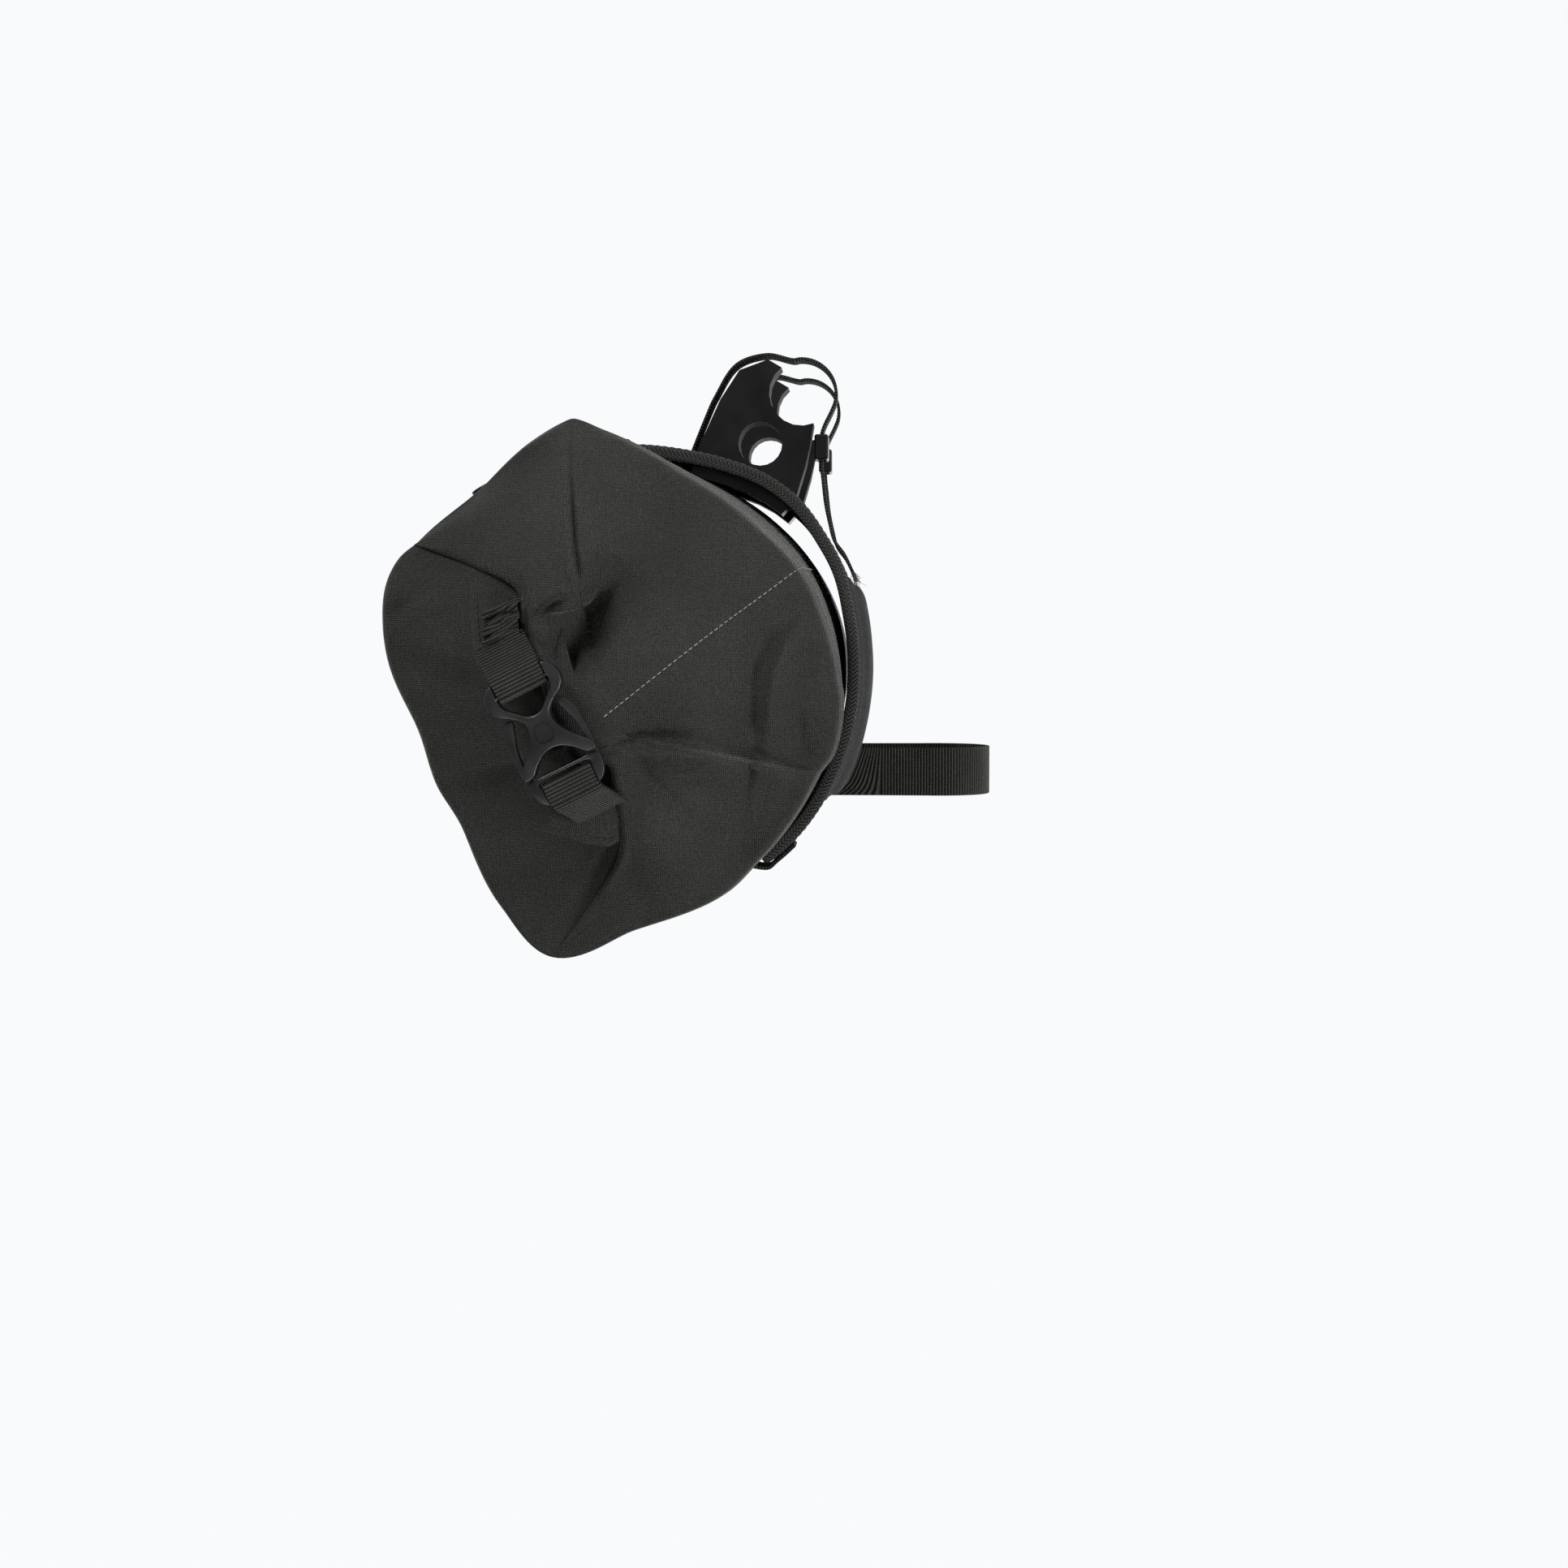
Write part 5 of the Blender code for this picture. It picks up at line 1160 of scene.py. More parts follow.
def cyclorama():
    """Pale paper floor that curves up into the backdrop."""
    profile = [(-3.0, FLOOR_LEVEL), (1.6, FLOOR_LEVEL)]
    for k in range(1, 9):
        turn = math.pi / 2 * k / 8
        profile.append((1.6 + 0.8 * math.sin(turn), FLOOR_LEVEL + 0.8 * (1 - math.cos(turn))))
    profile.append((2.4, 3.2))
    points = []
    for y, z in profile:
        points += [(-4.0, y, z), (4.0, y, z)]
    faces = [(2 * i, 2 * i + 1, 2 * i + 3, 2 * i + 2) for i in range(len(profile) - 1)]
    return points, faces


def ring_point(angle, reach, y):
    return Vector(around([angle], [reach], y)[0])


def harness_reaches(angles):
    return columns(HARNESS, "angle", ("reach",), angles)[:, 0] * BAG_RADIUS


def body_rest(tree, angle, y, half):
    """Height of the visible bag above its axis, over the width of a strap."""
    best = 0.0
    for share in (-1.0, -0.5, 0.0, 0.5, 1.0):
        start = ring_point(angle, 0.2, y + half * share)
        axis = ring_point(angle, 0.0, y + half * share)
        hit, _, _, _ = tree.ray_cast(start, (axis - start).normalized())
        if hit:
            best = max(best, (hit - axis).length)
    return best


def build_harness():
    """Back panel, the tape round its edge and the tape's seams."""
    inset = math.degrees((BINDING_WALL + GAP) / BAG_RADIUS)
    angles = np.linspace(HARNESS_TOP - inset, HARNESS_BOTTOM + inset, 120)
    path = around(angles, harness_reaches(angles) - HARNESS_THICKNESS / 2, 0.0)
    width = HARNESS_WIDTH - 2 * (BINDING_WALL + GAP)
    panel = ribbon(
        "harness_cloth", path, (0, 1, 0), width, HARNESS_THICKNESS, PANEL, "harness_fabric",
        ("harness_panel",), 160, inner=40, edge=0.0007,
    )

    half = HARNESS_WIDTH / 2
    corner = 0.006
    track = []
    top = HARNESS_TOP
    base = HARNESS_BOTTOM
    turn = math.degrees(corner / BAG_RADIUS)
    for angle in np.linspace(top - turn, base + turn, 150):
        track.append((angle, -half, 0.0, 1.0))
    for k in range(1, 8):
        a = math.pi / 2 * k / 8
        track.append(
            (base + turn * (1 - math.sin(a)), -half + corner * (1 - math.cos(a)), math.sin(a), math.cos(a))
        )
    for y in np.linspace(-half + corner, half - corner, 60):
        track.append((base, y, 1.0, 0.0))
    for k in range(1, 8):
        a = math.pi / 2 * k / 8
        track.append(
            (base + turn * (1 - math.cos(a)), half - corner * (1 - math.sin(a)), math.cos(a), -math.sin(a))
        )
    for angle in np.linspace(base + turn, top - turn, 150):
        track.append((angle, half, 0.0, -1.0))
    for k in range(1, 8):
        a = math.pi / 2 * k / 8
        track.append(
            (top - turn * (1 - math.sin(a)), half - corner * (1 - math.cos(a)), -math.sin(a), -math.cos(a))
        )
    for y in np.linspace(half - corner, -half + corner, 60):
        track.append((top, y, -1.0, 0.0))
    for k in range(1, 8):
        a = math.pi / 2 * k / 8
        track.append(
            (top - turn * (1 - math.cos(a)), -half + corner * (1 - math.sin(a)), -math.cos(a), math.sin(a))
        )
    outer_lift = GAP + BINDING_WALL
    section = [
        (BINDING_WIDTH, outer_lift * 0.55), (BINDING_WIDTH - 0.0004, outer_lift),
        (BINDING_WIDTH * 0.7, outer_lift + 0.0001),
        (BINDING_WIDTH * 0.35, outer_lift), (0.0009, outer_lift - 0.0003), (0.0, outer_lift - 0.0016),
        (0.0, -HARNESS_THICKNESS - outer_lift + 0.0016), (0.0009, -HARNESS_THICKNESS - outer_lift + 0.0003),
        (BINDING_WIDTH * 0.35, -HARNESS_THICKNESS - outer_lift),
        (BINDING_WIDTH - 0.0004, -HARNESS_THICKNESS - outer_lift),
        (BINDING_WIDTH, -HARNESS_THICKNESS - outer_lift * 0.55),
        (BINDING_WIDTH - 0.0003, -HARNESS_THICKNESS - GAP), (BINDING_WALL, -HARNESS_THICKNESS - GAP),
        (BINDING_WALL, GAP), (BINDING_WIDTH - 0.0003, GAP),
    ]
    points = []
    marks = [0.0]
    for angle, y, turn_in, y_in in track:
        reach = harness_reaches([min(max(angle, base), top)])[0]
        middle = ring_point(angle, reach, y)
        if points:
            marks.append(marks[-1] + (middle - last_middle).length)
        last_middle = middle
        for run, height in section:
            points.append(
                ring_point(angle + turn_in * math.degrees(run / BAG_RADIUS), reach + height, y + y_in * run)
            )
    marks.append(marks[-1] + 0.002)
    count = len(section)
    rows = len(track)
    faces = []
    uvs = []
    across = np.concatenate([[0], np.cumsum([
        math.dist(section[k], section[(k + 1) % count]) for k in range(count)
    ])])
    for i in range(rows):
        j = (i + 1) % rows
        for k in range(count):
            m = (k + 1) % count
            faces.append((i * count + k, i * count + m, j * count + m, j * count + k))
            uvs += [
                (marks[i], across[k]), (marks[i], across[k + 1]),
                (marks[i + 1], across[k + 1]), (marks[i + 1], across[k]),
            ]
    tape = finish_mesh(new_mesh("harness_edge_tape", points, faces, uvs, TAPE, True, 50))
    adopt(tape, "binding_tape", "harness_binding")

    seam = [ring_point(a, harness_reaches([a])[0] + outer_lift, -half + BINDING_WIDTH * 0.72)
            for a in np.linspace(top - 3, base + 3, 120)]
    normals = [(p - ring_point(0, 0, p.y)).normalized() for p in seam]
    stitches("harness_seam_left", seam, 0.0026, 0.0010, 0.00028, DARK_THREAD, "binding_tape", normals)
    seam = [Vector((p.x, -p.y, p.z)) for p in seam]
    stitches("harness_seam_right", seam, 0.0026, 0.0010, 0.00028, DARK_THREAD, "binding_tape", normals)


def build_pad():
    rows = 72
    cols = 84
    rim = 0.006
    points = []
    normals = []
    uvs_at = []
    for i in range(rows + 1):
        s = i / rows
        angle = PAD_TOP + (PAD_BOTTOM - PAD_TOP) * s
        base = harness_reaches([angle])[0] + FACET_GAP
        height_length = abs(math.radians(PAD_TOP - PAD_BOTTOM)) * BAG_RADIUS
        for j in range(cols + 1):
            t = j / cols
            y = (t - 0.5) * PAD_WIDTH
            edge = min(s * height_length, (1 - s) * height_length, t * PAD_WIDTH, (1 - t) * PAD_WIDTH)
            swell = min(1.0, max(0.0, (edge - rim * 0.7) / 0.010))
            swell = math.sqrt(max(0.0, 1 - (1 - swell) ** 2))
            lift = PAD_THICKNESS * (0.34 + 0.66 * swell)
            lift *= 1.0 + 0.03 * math.sin(9.0 * s + 4.0 * t) * swell
            corner = min(1.0, edge / 0.0014)
            lift *= 0.55 + 0.45 * math.sqrt(max(0.0, 1 - (1 - corner) ** 2))
            points.append(ring_point(angle, base + lift, y))
            uvs_at.append((s * height_length, y))
    top = len(points)
    for i in range(rows + 1):
        angle = PAD_TOP + (PAD_BOTTOM - PAD_TOP) * i / rows
        base = harness_reaches([angle])[0] + FACET_GAP
        for j in range(cols + 1):
            y = (j / cols - 0.5) * PAD_WIDTH
            points.append(ring_point(angle, base, y))
            uvs_at.append((i / rows * 0.11, y))
    faces = []
    line = cols + 1
    for i in range(rows):
        for j in range(cols):
            a = i * line + j
            faces.append((a, a + 1, a + line + 1, a + line))
            b = top + a
            faces.append((b, b + line, b + line + 1, b + 1))
    for j in range(cols):
        faces.append((j, top + j, top + j + 1, j + 1))
        a = rows * line + j
        faces.append((a, a + 1, top + a + 1, top + a))
    for i in range(rows):
        a = i * line
        faces.append((a, a + line, top + a + line, top + a))
        b = a + cols
        faces.append((b, top + b, top + b + line, b + line))
    uvs = [uvs_at[i] for face in faces for i in face]
    pad = finish_mesh(new_mesh("pad_cloth", points, faces, uvs, PAD_CLOTH, True, 60))
    adopt(pad, "harness_fabric", "back_pad")

    edge_path = []
    for angle in np.linspace(PAD_TOP - 1.6, PAD_BOTTOM + 1.6, 60):
        edge_path.append((angle, -PAD_WIDTH / 2 + 0.0035))
    for y in np.linspace(-PAD_WIDTH / 2 + 0.0035, PAD_WIDTH / 2 - 0.0035, 60):
        edge_path.append((PAD_BOTTOM + 1.8, y))
    for angle in np.linspace(PAD_BOTTOM + 1.6, PAD_TOP - 1.6, 60):
        edge_path.append((angle, PAD_WIDTH / 2 - 0.0035))
    for y in np.linspace(PAD_WIDTH / 2 - 0.0035, -PAD_WIDTH / 2 + 0.0035, 60):
        edge_path.append((PAD_TOP - 1.8, y))
    tree = surface_tree(pad)
    seam = []
    normals = []
    for angle, y in edge_path:
        start = ring_point(angle, 0.2, y)
        inward = (ring_point(angle, 0.0, y) - start).normalized()
        hit, _, _, _ = tree.ray_cast(start, inward)
        if hit:
            seam.append(hit)
            normals.append(-inward)
    stitches("pad_seam", seam, 0.0028, 0.0012, 0.00028, DARK_THREAD, "harness_fabric", normals)
    return tree


def finish_mesh(piece):
    """Faces outward on a closed piece."""
    worker = bmesh.new()
    worker.from_mesh(piece.data)
    bmesh.ops.recalc_face_normals(worker, faces=worker.faces)
    worker.to_mesh(piece.data)
    worker.free()
    return piece


def build_compression(tree, side, y):
    """Strap over the front of the bag and its side release buckle."""
    lift = WEBBING_THICKNESS / 2
    sewn = 2 * FACET_GAP + BINDING_WALL + lift
    path = [
        ring_point(HARNESS_TOP - a, harness_reaches([HARNESS_TOP - a])[0] + sewn, y)
        for a in (9, 6, 3, 0)
    ]
    angles = np.arange(HARNESS_TOP + 6, 360 + HARNESS_BOTTOM - 5, 2.0)
    half = WEBBING_WIDTH / 2
    rest = np.array([body_rest(tree, a, y, half) for a in angles])
    padded_rest = np.concatenate([rest[:3][::-1], rest, rest[-3:][::-1]])
    rest = np.array(
        [max(padded_rest[i:i + 7]) * 0.6 + padded_rest[i:i + 7].mean() * 0.4 for i in range(len(rest))]
    )
    for angle, reach in zip(angles, rest):
        path.append(ring_point(angle, reach + 0.0002 + lift, y))
    path += [
        ring_point(HARNESS_BOTTOM + a, harness_reaches([HARNESS_BOTTOM + a])[0] + sewn, y)
        for a in (0, 3, 6, 9)
    ]
    strap = ribbon(
        f"compression_{side}_strap", path, (0, 1, 0), WEBBING_WIDTH, WEBBING_THICKNESS, WEBBING, "webbing",
        (f"compression_{side}_webbing",), 260,
    )

    turn = math.radians(STRAP_BUCKLE_ANGLE)
    up = Vector((math.cos(turn), 0, math.sin(turn)))
    run = Vector((-math.sin(turn), 0, math.cos(turn)))
    low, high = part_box(f"compression_{side}_socket")
    axis = ring_point(STRAP_BUCKLE_ANGLE, 0, y)
    corners = [v.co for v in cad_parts[f"compression_{side}_socket"].data.vertices]
    base = min((c - axis).dot(up) for c in corners)
    matrix = Matrix((-run, up.cross(-run), up)).transposed().to_4x4()
    matrix.translation = axis + up * (base + STRAP_BUCKLE_THICKNESS / 2)
    build_buckle(
        f"compression_{side}", matrix, STRAP_BUCKLE_LENGTH, STRAP_BUCKLE_WIDTH, STRAP_BUCKLE_THICKNESS,
        (f"compression_{side}_socket",), (f"compression_{side}_plug",),
    )
    for end, sign in (("socket", 1), ("plug", -1)):
        loop_back(f"compression_{side}_{end}_loop", matrix, sign)


def loop_back(name, matrix, sign):
    """Short webbing that rises from under the buckle, turns over its bar and runs back along the strap."""
    bar = sign * -0.455 * STRAP_BUCKLE_LENGTH
    depth = STRAP_BUCKLE_THICKNESS / 2
    out = -sign
    rows = [
        (bar - out * 0.000, 0.0019), (bar + out * 0.0025, 0.0022), (bar + out * 0.0045, 0.0010),
        (bar + out * 0.0075, -depth + 0.0030), (bar + out * 0.012, -depth + 0.0012),
        (bar + out * 0.022, -depth + 0.0006),
    ]
    path = [matrix @ Vector((x, 0, z)) for x, z in rows]
    side = matrix.to_3x3() @ Vector((0, 1, 0))
    adopt(ribbon(
        name, path, side, STRAP_BUCKLE_WIDTH * 0.66, WEBBING_THICKNESS * 0.8, WEBBING, "webbing", (), 40
    ), "webbing")


# Buckles

def outline_of(rows, length, width):
    half = [(row["along"] * length, row["aside"] * width) for row in rows]
    return half + [(x, -y) for x, y in reversed(half) if abs(y) > 1e-9]


def softened(outline, rounds=2):
    """Closed outline with its corners rounded."""
    points = [Vector(p) for p in outline]
    for _ in range(rounds):
        finer = []
        for i, point in enumerate(points):
            after = points[(i + 1) % len(points)]
            finer += [point.lerp(after, 0.22), point.lerp(after, 0.78)]
        points = finer
    return [tuple(p) for p in points]


def plate(name, outlines, thickness, bevel, segments=3):
    """Extruded plate from an outline and its holes, with rounded edges."""
    curve = bpy.data.curves.new(name, "CURVE")
    curve.dimensions = "2D"
    curve.fill_mode = "BOTH"
    curve.extrude = thickness / 2
    for outline in outlines:
        spline = curve.splines.new("POLY")
        spline.points.add(len(outline) - 1)
        for point, (x, y) in zip(spline.points, outline):
            point.co = (x, y, 0, 1)
        spline.use_cyclic_u = True
    holder = bpy.data.objects.new(name, curve)
    bpy.context.scene.collection.objects.link(holder)
    mesh = bpy.data.meshes.new_from_object(holder)
    bpy.data.objects.remove(holder, do_unlink=True)
    worker = bmesh.new()
    worker.from_mesh(mesh)
    bmesh.ops.remove_doubles(worker, verts=worker.verts, dist=1e-6)
    bmesh.ops.dissolve_limit(worker, angle_limit=0.01, verts=worker.verts, edges=worker.edges)
    bmesh.ops.recalc_face_normals(worker, faces=worker.faces)
    worker.to_mesh(mesh)
    worker.free()
    mesh.materials.clear()
    made = bpy.data.objects.new(name, mesh)
    bpy.context.scene.collection.objects.link(made)
    if bevel:
        rounding = made.modifiers.new("rounded_edges", "BEVEL")
        rounding.width = bevel
        rounding.segments = segments
        rounding.limit_method = "ANGLE"
        rounding.angle_limit = math.radians(50)
    return made


def cut_from(target, cutters):
    for cutter in cutters:
        cut = target.modifiers.new("cut", "BOOLEAN")
        cut.operation = "DIFFERENCE"
        cut.solver = "EXACT"
        cut.object = cutter


def bake(piece, matrix, material, smooth=32):
    """Applies the modifiers and the matrix, so that the piece is one plain mesh."""
    graph = bpy.context.evaluated_depsgraph_get()
    mesh = bpy.data.meshes.new_from_object(piece.evaluated_get(graph), depsgraph=graph)
    piece.modifiers.clear()
    piece.data = mesh
    mesh.transform(matrix)
    piece.matrix_world = Matrix.Identity(4)
    mesh.materials.clear()
    mesh.materials.append(material)
    mesh.shade_smooth()
    mesh.set_sharp_from_angle(angle=math.radians(smooth))
    return piece


def prong(length, width, sign, half):
    middle = [(row["along"] * length, sign * row["aside"] * width) for row in PRONG_PATH]
    path = smooth_path([(x, y, 0) for x, y in middle], 14)
    left = []
    right = []
    for i in range(len(path)):
        run = Vector(path[min(i + 1, len(path) - 1)] - path[max(i - 1, 0)]).normalized()
        size = half * (0.85 + 0.5 * math.exp(-((i / 13 - 0.78) / 0.16) ** 2))
        left.append((path[i][0] - run.y * size, path[i][1] + run.x * size))
        right.append((path[i][0] + run.y * size, path[i][1] - run.x * size))
    return left + list(reversed(right))


def build_buckle(name, matrix, length, width, thickness, socket_nodes, plug_nodes):
    """Side release buckle: socket with a waist and a webbing bar, plug with two sprung prongs."""
    scale = thickness / SOCKET_THICKNESS
    socket = plate(
        f"{name}_socket_body",
        [
            softened(outline_of(SOCKET_OUTLINE, length, width)),
            softened(outline_of(SOCKET_WINDOW, length, width), 1)
        ],
        thickness, 0.0016 * scale, 4,
    )
    cutters = []
    for sign in (1, -1):
        room = plate(
            "room", [prong(length, width, sign, PRONG_WIDTH * scale / 2 + 0.0007)],
            PRONG_THICKNESS * scale + 0.0012, 0
        )
        cutters.append(room)
    half = width * 0.338
    for sign in (1, -1):
        box = plate("bar_room", [[
            (-0.54 * length, -half), (-0.40 * length, -half), (-0.40 * length, half), (-0.54 * length, half),
        ]], thickness, 0)
        box.location.z = sign * (BUCKLE_BAR_THICKNESS * scale + thickness) / 2
        cutters.append(box)
        grip = plate("grip", [softened([
            (-0.10 * length, -0.10 * width), (0.06 * length, -0.13 * width),
            (0.06 * length, 0.13 * width), (-0.10 * length, 0.10 * width),
        ], 2)], 0.0016 * scale, 0)
        grip.location.z = sign * thickness / 2
        cutters.append(grip)
    bpy.context.view_layer.update()
    cut_from(socket, cutters)
    bake(socket, matrix, PLASTIC)
    adopt(socket, "black_plastic", *socket_nodes)
    for cutter in cutters:
        bpy.data.objects.remove(cutter, do_unlink=True)

    thin = thickness * PLUG_THICKNESS / SOCKET_THICKNESS
    plug = plate(
        f"{name}_plug_body",
        [
            softened(outline_of(PLUG_OUTLINE, length, width)),
            softened(outline_of(PLUG_WINDOW, length, width), 1)
        ],
        thin, 0.0012 * scale, 3,
    )
    prongs = []
    for sign in (1, -1):
        prongs.append(
            plate(
                "prong", [prong(length, width, sign, PRONG_WIDTH * scale / 2)], PRONG_THICKNESS * scale,
                0.0006 * scale, 2
            )
        )
    cutters = []
    for sign in (1, -1):
        box = plate("bar_room", [[
            (0.36 * length, -half), (0.54 * length, -half), (0.54 * length, half), (0.36 * length, half),
        ]], thickness, 0)
        box.location.z = sign * (BUCKLE_BAR_THICKNESS * scale + thickness) / 2
        cutters.append(box)
    bpy.context.view_layer.update()
    for piece in prongs:
        joined = plug.modifiers.new("joined", "BOOLEAN")
        joined.operation = "UNION"
        joined.solver = "EXACT"
        joined.object = piece
    cut_from(plug, cutters)
    bake(plug, matrix, PLASTIC)
    adopt(plug, "black_plastic", *plug_nodes)
    for cutter in prongs + cutters:
        bpy.data.objects.remove(cutter, do_unlink=True)


def closure_frame(along, aside, height):
    """Point of the mouth buckle from metres along and aside its own axis and above its base plane."""
    turn = math.radians(BUCKLE_ANGLE)
    down = Vector((math.sin(turn), 0, -math.cos(turn)))
    right = Vector((math.cos(turn), 0, math.sin(turn)))
    base = Vector(
        (BUCKLE_SIDE - BAG_REACH, -BAG_LENGTH / 2 - END_HEIGHT - BUCKLE_LIFT, -BUCKLE_DROP - BAG_DROP)
    )
    return base + down * along + right * aside + Vector((0, -height, 0))


def closure_matrix():
    origin = closure_frame(0, 0, 0)
    x_axis = closure_frame(1, 0, 0) - origin
    z_axis = closure_frame(0, 0, 1) - origin
    matrix = Matrix((x_axis, z_axis.cross(x_axis), z_axis)).transposed().to_4x4()
    matrix.translation = origin
    return matrix


def mouth_webbing(name, node, bar, far, skew, drop, start):
    direction = 1 if far > bar[0] else -1
    middle = WEBBING_THICKNESS / 2
    layer = BUCKLE_BAR_THICKNESS / 2 + 2 * GAP + middle
    turn_at = bar[0] - direction * 2 * GAP
    close = middle + 2 * GAP
    rows = [*start]
    rows += [
        (far, skew, close - drop),
        ((far + bar[1]) / 2, skew * 0.5, (close + layer - drop) / 2),
        (bar[1], 0.0, layer),
        (turn_at, 0.0, layer),
    ]
    for turn in (50, 0, -50):
        angle = math.radians(turn)
        rows.append((turn_at - direction * layer * math.cos(angle) * 0.7, 0.0, layer * math.sin(angle)))
    rows += [
        (turn_at, 0.0, -layer),
        (bar[1], 0.0, -layer),
        ((far + bar[1]) / 2, skew * 0.5, (-close - layer - drop) / 2),
        (far, skew, -close - drop),
    ]
    path = [closure_frame(*row) for row in rows]
    side = closure_frame(0, 1, 0) - closure_frame(0, 0, 0)
    gathered = sum((b - a).length for a, b in zip(path[:len(start)], path[1:len(start) + 1]))

    def narrow(mark):
        if not start:
            return 1.0
        share = min(max((mark - gathered) / 0.006, -1.0), 1.0)
        return 0.87 + 0.13 * share + (0.03 * math.sin(mark * 900) if share < 0 else 0.0)

    def crumple(mark, share):
        """Irregular folds of the gathered start."""
        if not start:
            return 0.0
        fade = min(max((gathered + 0.001 - mark) / 0.004, 0.0), 1.0)
        wave_one = math.sin(mark * 2 * math.pi / 0.0072 + 2.2 * math.sin(4.0 * share))
        wave_two = math.sin(mark * 2 * math.pi / 0.0041 - 5.0 * share + 1.0)
        return fade * (0.00135 * wave_one + 0.00055 * wave_two)

    piece = ribbon(
        name, path, side, MOUTH_WEBBING_WIDTH, WEBBING_THICKNESS, WEBBING, "webbing", (node,), 260,
        widths=narrow,
        inner=16, lifts=crumple,
    )
    return piece


def build_closure(tree):
    for name, node, rows in (
        ("mouth_tab_upper", "closure_strip_upper", UPPER_STRIP),
        ("mouth_tab_lower", "closure_strip_lower", LOWER_STRIP),
    ):
        left = smooth_path([end_points(row["left"]) for row in rows], 30)
        right = smooth_path([end_points(row["right"]) for row in rows], 30)
        cols = 14
        points = []
        uvs_at = []
        marks = np.concatenate([[0], np.cumsum(np.linalg.norm(np.diff(left, axis=0), axis=1))])
        thick = STRIP_THICKNESS / 2
        for sign in (1, -1):
            for i in range(30):
                for j in range(cols + 1):
                    share = j / cols
                    place = left[i] + (right[i] - left[i]) * share
                    near = min(share, 1 - share, i / 29, 1 - i / 29)
                    rounding = math.sqrt(max(0.0, 1 - (1 - min(1.0, near / 0.05)) ** 2))
                    groove = 0.0003 * math.exp(-((min(share, 1 - share) - 0.13) / 0.02) ** 2)
                    wave_lift = 0.0005 * math.sin(5.0 * share + 7.0 * i / 29)
                    height = thick * (0.45 + 0.55 * rounding) - groove
                    points.append(place + np.array([0, -sign * height - wave_lift, 0]))
                    uvs_at.append((marks[i], share * 0.022))
        line = cols + 1
        side_count = 30 * line
        faces = []
        for i in range(29):
            for j in range(cols):
                a = i * line + j
                faces.append((a, a + 1, a + line + 1, a + line))
                b = side_count + a
                faces.append((b, b + line, b + line + 1, b + 1))
        rim = [i for i in range(line)] + [i * line + cols for i in range(1, 30)]
        rim += [29 * line + j for j in range(cols - 1, -1, -1)] + [i * line for i in range(28, 0, -1)]
        for a, b in zip(rim, rim[1:] + rim[:1]):
            faces.append((a, b, side_count + b, side_count + a))
        uvs = [uvs_at[i] for face in faces for i in face]
        tab = finish_mesh(new_mesh(name, points, faces, uvs, FABRIC, True, 70))
        adopt(tab, "coated_fabric", node)
        for share, edge_name in ((0.16, "outer"), (0.84, "inner")):
            seam = [Vector(l + (r - l) * share) - Vector((0, thick + 0.0002, 0)) for l, r in zip(left, right)]
            stitches(
                f"{name}_{edge_name}_seam", seam[2:-2], 0.0022, 0.0011, 0.00027, TAB_THREAD, "coated_fabric"
            )

    socket_bar = (-0.405 * BUCKLE_LENGTH, -0.510 * BUCKLE_LENGTH)
    plug_bar = (0.385 * BUCKLE_LENGTH, 0.510 * BUCKLE_LENGTH)
    gather = [tuple(row[key] * BUCKLE_LENGTH for key in ("along", "aside", "height")) for row in GATHER]
    gather = [tuple((a + b) / 2 for a, b in zip(gather[k], gather[k + 1])) for k in (0, 2, 4)]
    mouth_webbing(
        "mouth_webbing_upper", "webbing_upper", socket_bar, -UPPER_WEBBING_REACH, -0.0015,
        UPPER_WEBBING_DIP, gather,
    )
    mouth_webbing(
        "mouth_webbing_lower", "webbing_lower", plug_bar, LOWER_WEBBING_REACH - 0.0034, 0.0048,
        LOWER_WEBBING_DIP, [],
    )
    build_buckle(
        "mouth", closure_matrix(), BUCKLE_LENGTH, BUCKLE_WIDTH, SOCKET_THICKNESS, ("buckle_socket",),
        ("buckle_plug",),
    )


# Handlebar side

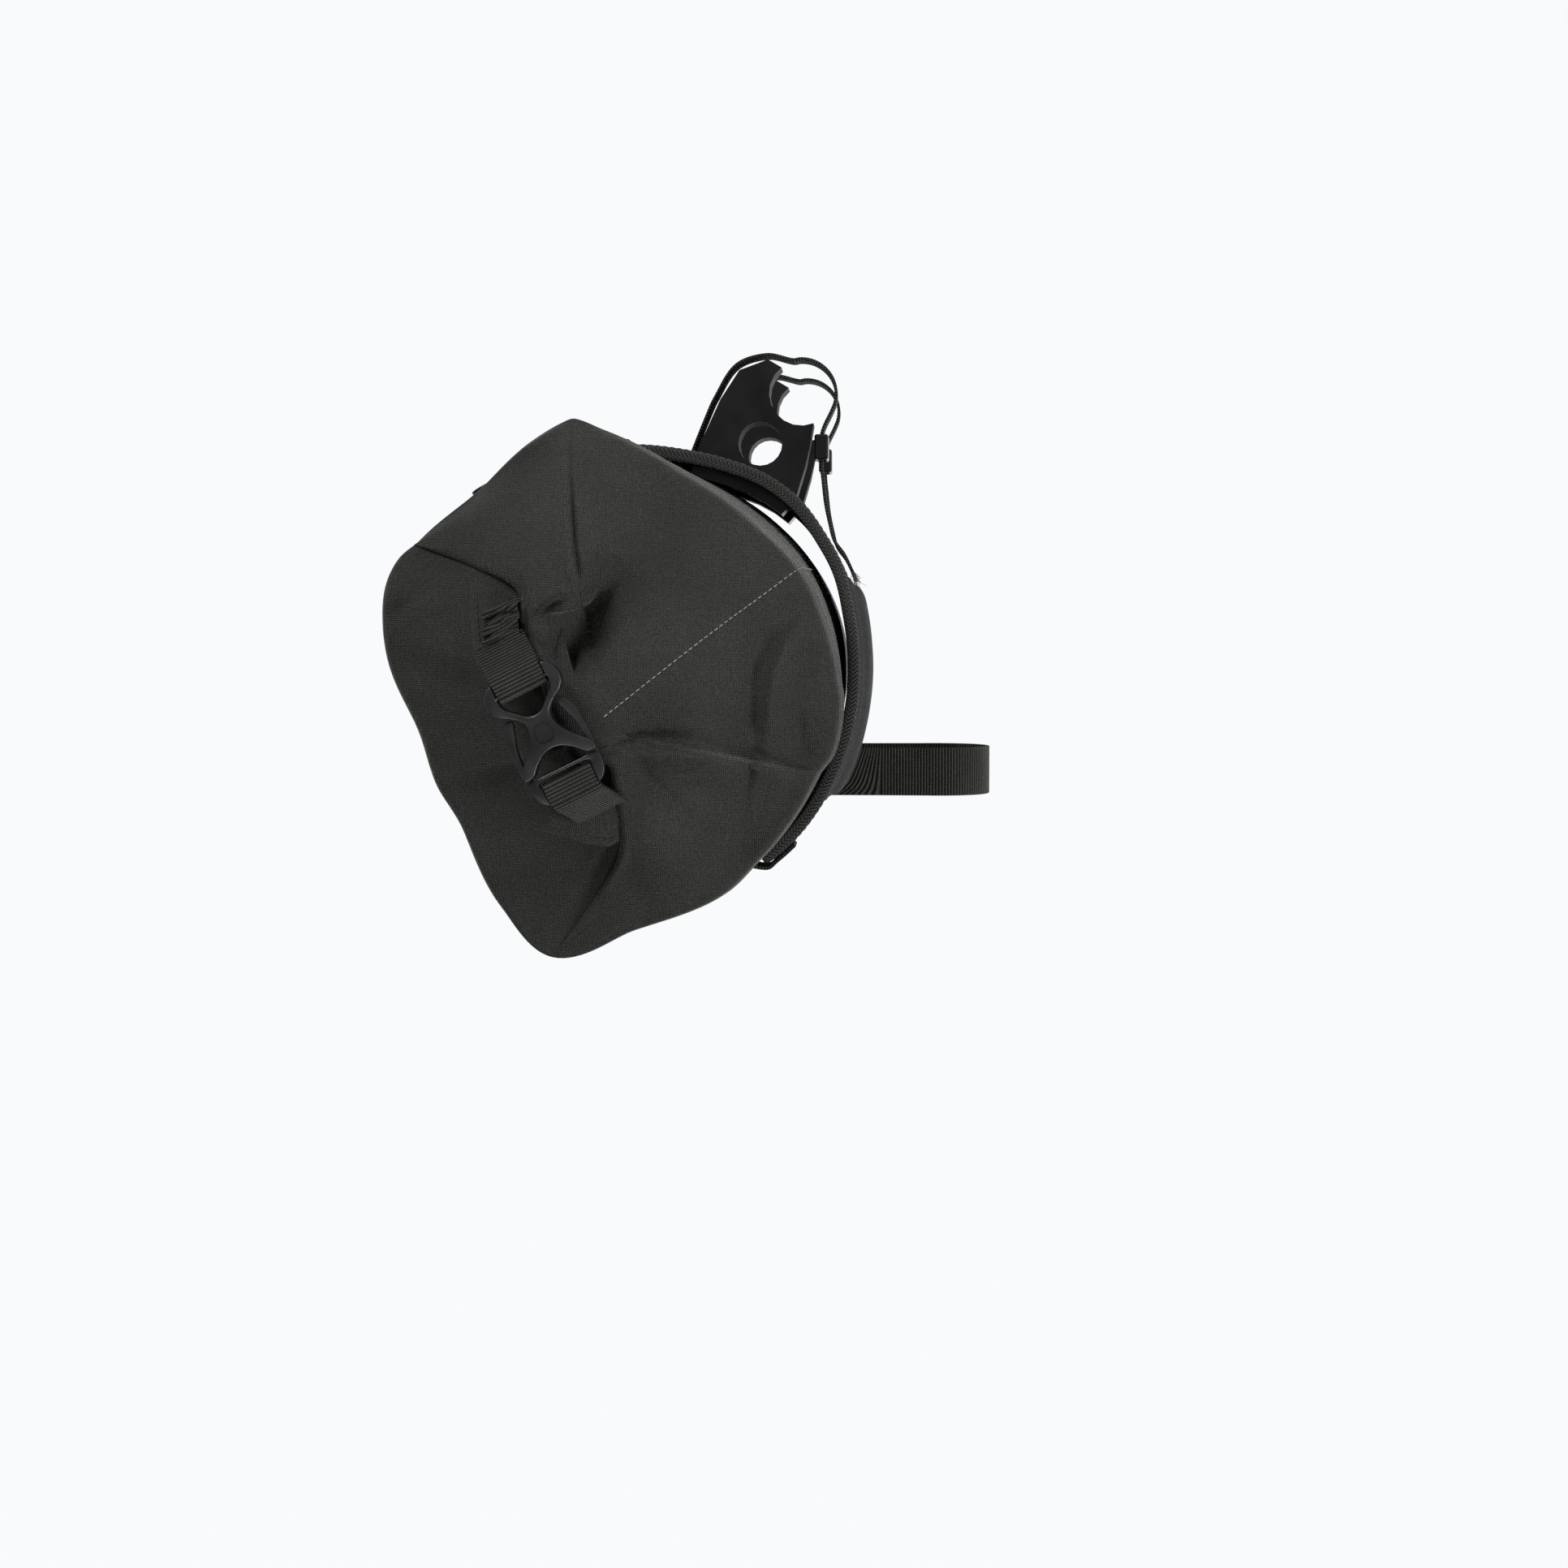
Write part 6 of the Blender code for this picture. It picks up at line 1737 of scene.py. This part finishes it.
def build_bar_strap(side, y):
    radius = HANDLEBAR_DIAMETER / 2
    path = [ring_point(BAR_STRAP_FOOT, harness_reaches([BAR_STRAP_FOOT])[0] + FACET_GAP, y)]
    path += [Vector((row["back"] * radius, y, row["up"] * radius)) for row in BAR_STRAP_FRONT]
    reach = radius + GAP * 2 + WEBBING_THICKNESS / 2
    for turn in (104, 93, 82, 71, 60, 49, 38, 27, 16, 5, -6, -17, -28):
        angle = math.radians(turn)
        path.append(Vector((reach * math.cos(angle), y, reach * math.sin(angle))))
    path += [Vector((row["back"] * radius, y, row["up"] * radius)) for row in BAR_STRAP_TAIL]
    strap = ribbon(
        f"bar_strap_{side}", path, (0, 1, 0), BAR_STRAP_WIDTH, WEBBING_THICKNESS, WEBBING, "webbing",
        (f"handlebar_strap_{side}",), 240,
    )
    end = path[-1]
    run = (path[-1] - path[-2]).normalized()
    rng = np.random.default_rng(11 if side == "left" else 12)
    points = []
    faces = []
    for _ in range(46):
        start = end + Vector((0, rng.uniform(-0.46, 0.46) * BAR_STRAP_WIDTH, 0)) - run * 0.001
        start += Vector((run.z, 0, -run.x)) * rng.uniform(-0.5, 0.5) * WEBBING_THICKNESS
        reach = rng.uniform(0.002, 0.0065)
        bend = Vector((rng.normal(), rng.normal(), rng.normal())) * 0.35
        size = rng.uniform(0.00012, 0.00022)
        base = len(points)
        for k in range(5):
            share = k / 4
            middle = start + run * reach * share + bend * reach * share * share
            for m in range(4):
                turn = math.pi / 2 * m
                points.append(middle + Vector((run.z, 0, -run.x)) * math.cos(turn) * size * (1 - share * 0.6)
                              + Vector((0, 1, 0)) * math.sin(turn) * size * (1 - share * 0.6))
        for k in range(4):
            for m in range(4):
                n = (m + 1) % 4
                faces.append((base + 4 * k + m, base + 4 * k + n, base + 4 * k + 4 + n, base + 4 * k + 4 + m))
        faces.append((base, base + 1, base + 2, base + 3))
        faces.append((base + 16, base + 17, base + 18, base + 19))
    adopt(finish_mesh(new_mesh(f"bar_strap_{side}_fray", points, faces, None, DARK_THREAD)), "webbing")


def build_tube_strap(pad_tree):
    """Loop for the head tube, sewn at both ends to the back of the pad."""
    start = TUBE_STRAP_START - BAG_REACH
    centre = TUBE_CENTRE_BACK - BAG_REACH
    level = -BAG_DROP - TUBE_STRAP_LOW
    path = [(start, -TUBE_STRAP_SPREAD)]
    for turn in range(-105, 106, 7):
        angle = math.radians(turn)
        path.append((centre + TUBE_LOOP_RADIUS * math.cos(angle), TUBE_LOOP_RADIUS * math.sin(angle)))
    path.append((start, TUBE_STRAP_SPREAD))
    places = [Vector((x, y, level)) for x, y in path]

    def slant(mark, share, total):
        """The ends lean back to lie along the pad."""
        near = max(0.0, 1 - min(mark, total - mark) / 0.012)
        hit, _, _, _ = pad_tree.ray_cast(
            Vector((0.2, -TUBE_STRAP_SPREAD, level + (share - 0.5) * TUBE_STRAP_HEIGHT)), Vector((-1, 0, 0)),
        )
        back = hit.x + GAP - start if hit else 0.0
        return back * near ** 0.7

    strap = ribbon(
        "tube_strap", places, (0, 0, 1), TUBE_STRAP_HEIGHT, WEBBING_THICKNESS, WEBBING, "webbing",
        ("head_tube_strap",), 220, shear=slant,
    )


def finish_hard_nodes():
    for name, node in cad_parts.items():
        if node.hide_render:
            continue
        material = (
            GLOSSY if name.endswith(("lock", "back_plate")) else SPACER if "spacer" in name else PLASTIC
        )
        node.data.materials.clear()
        node.data.materials.append(material)
        for polygon in node.data.polygons:
            polygon.material_index = 0


# Seam of the end, from the mouth to the rim: across and up as shares of the bag radius. Its last point is
# outside the rim, so rays there graze the barrel and the stitches run on along it, under the harness.
SEAM_PATH = [(0.000, -0.105), (0.22, 0.070), (0.50, 0.290), (0.700, 0.440), (0.775, 0.497), (0.86, 0.555)]
SEAM_RUN = 0.022


def build_seam(tree):
    """Row of pale stitches across the end and on along the barrel."""
    path = smooth_path([(x, y, 0) for x, y in SEAM_PATH], 120)
    points = []
    normals = []
    for x, up, _ in path:
        hit, normal = on_end(tree, x * BAG_RADIUS - BAG_REACH, up * BAG_RADIUS - BAG_DROP)
        if hit:
            points.append(hit)
            normals.append(normal if normal.y < 0 else -normal)
    turn = math.degrees(math.atan2(SEAM_PATH[-1][1], SEAM_PATH[-1][0]))
    for share in np.linspace(0.15, 1.0, 24):
        y = -BAG_LENGTH / 2 + 0.004 + SEAM_RUN * share
        axis = ring_point(turn, 0.0, y)
        outside = ring_point(turn, 0.2, y)
        hit, _, _, _ = tree.ray_cast(outside, (axis - outside).normalized())
        if hit:
            points.append(hit)
            normals.append((outside - axis).normalized())
    stitches("end_seam", points, 0.0021, 0.0009, 0.00030, PALE_THREAD, "coated_fabric", normals)


bag = build_bag()
bag_tree = surface_tree(bag)
build_harness()
pad_tree = build_pad()
build_closure(bag_tree)
for side, sign in (("left", -1), ("right", 1)):
    build_compression(bag_tree, side, sign * STRAP_SPACING / 2)
    build_bar_strap(side, sign * SPACER_SPACING / 2)
build_tube_strap(pad_tree)
build_seam(bag_tree)
finish_hard_nodes()
build_studio()
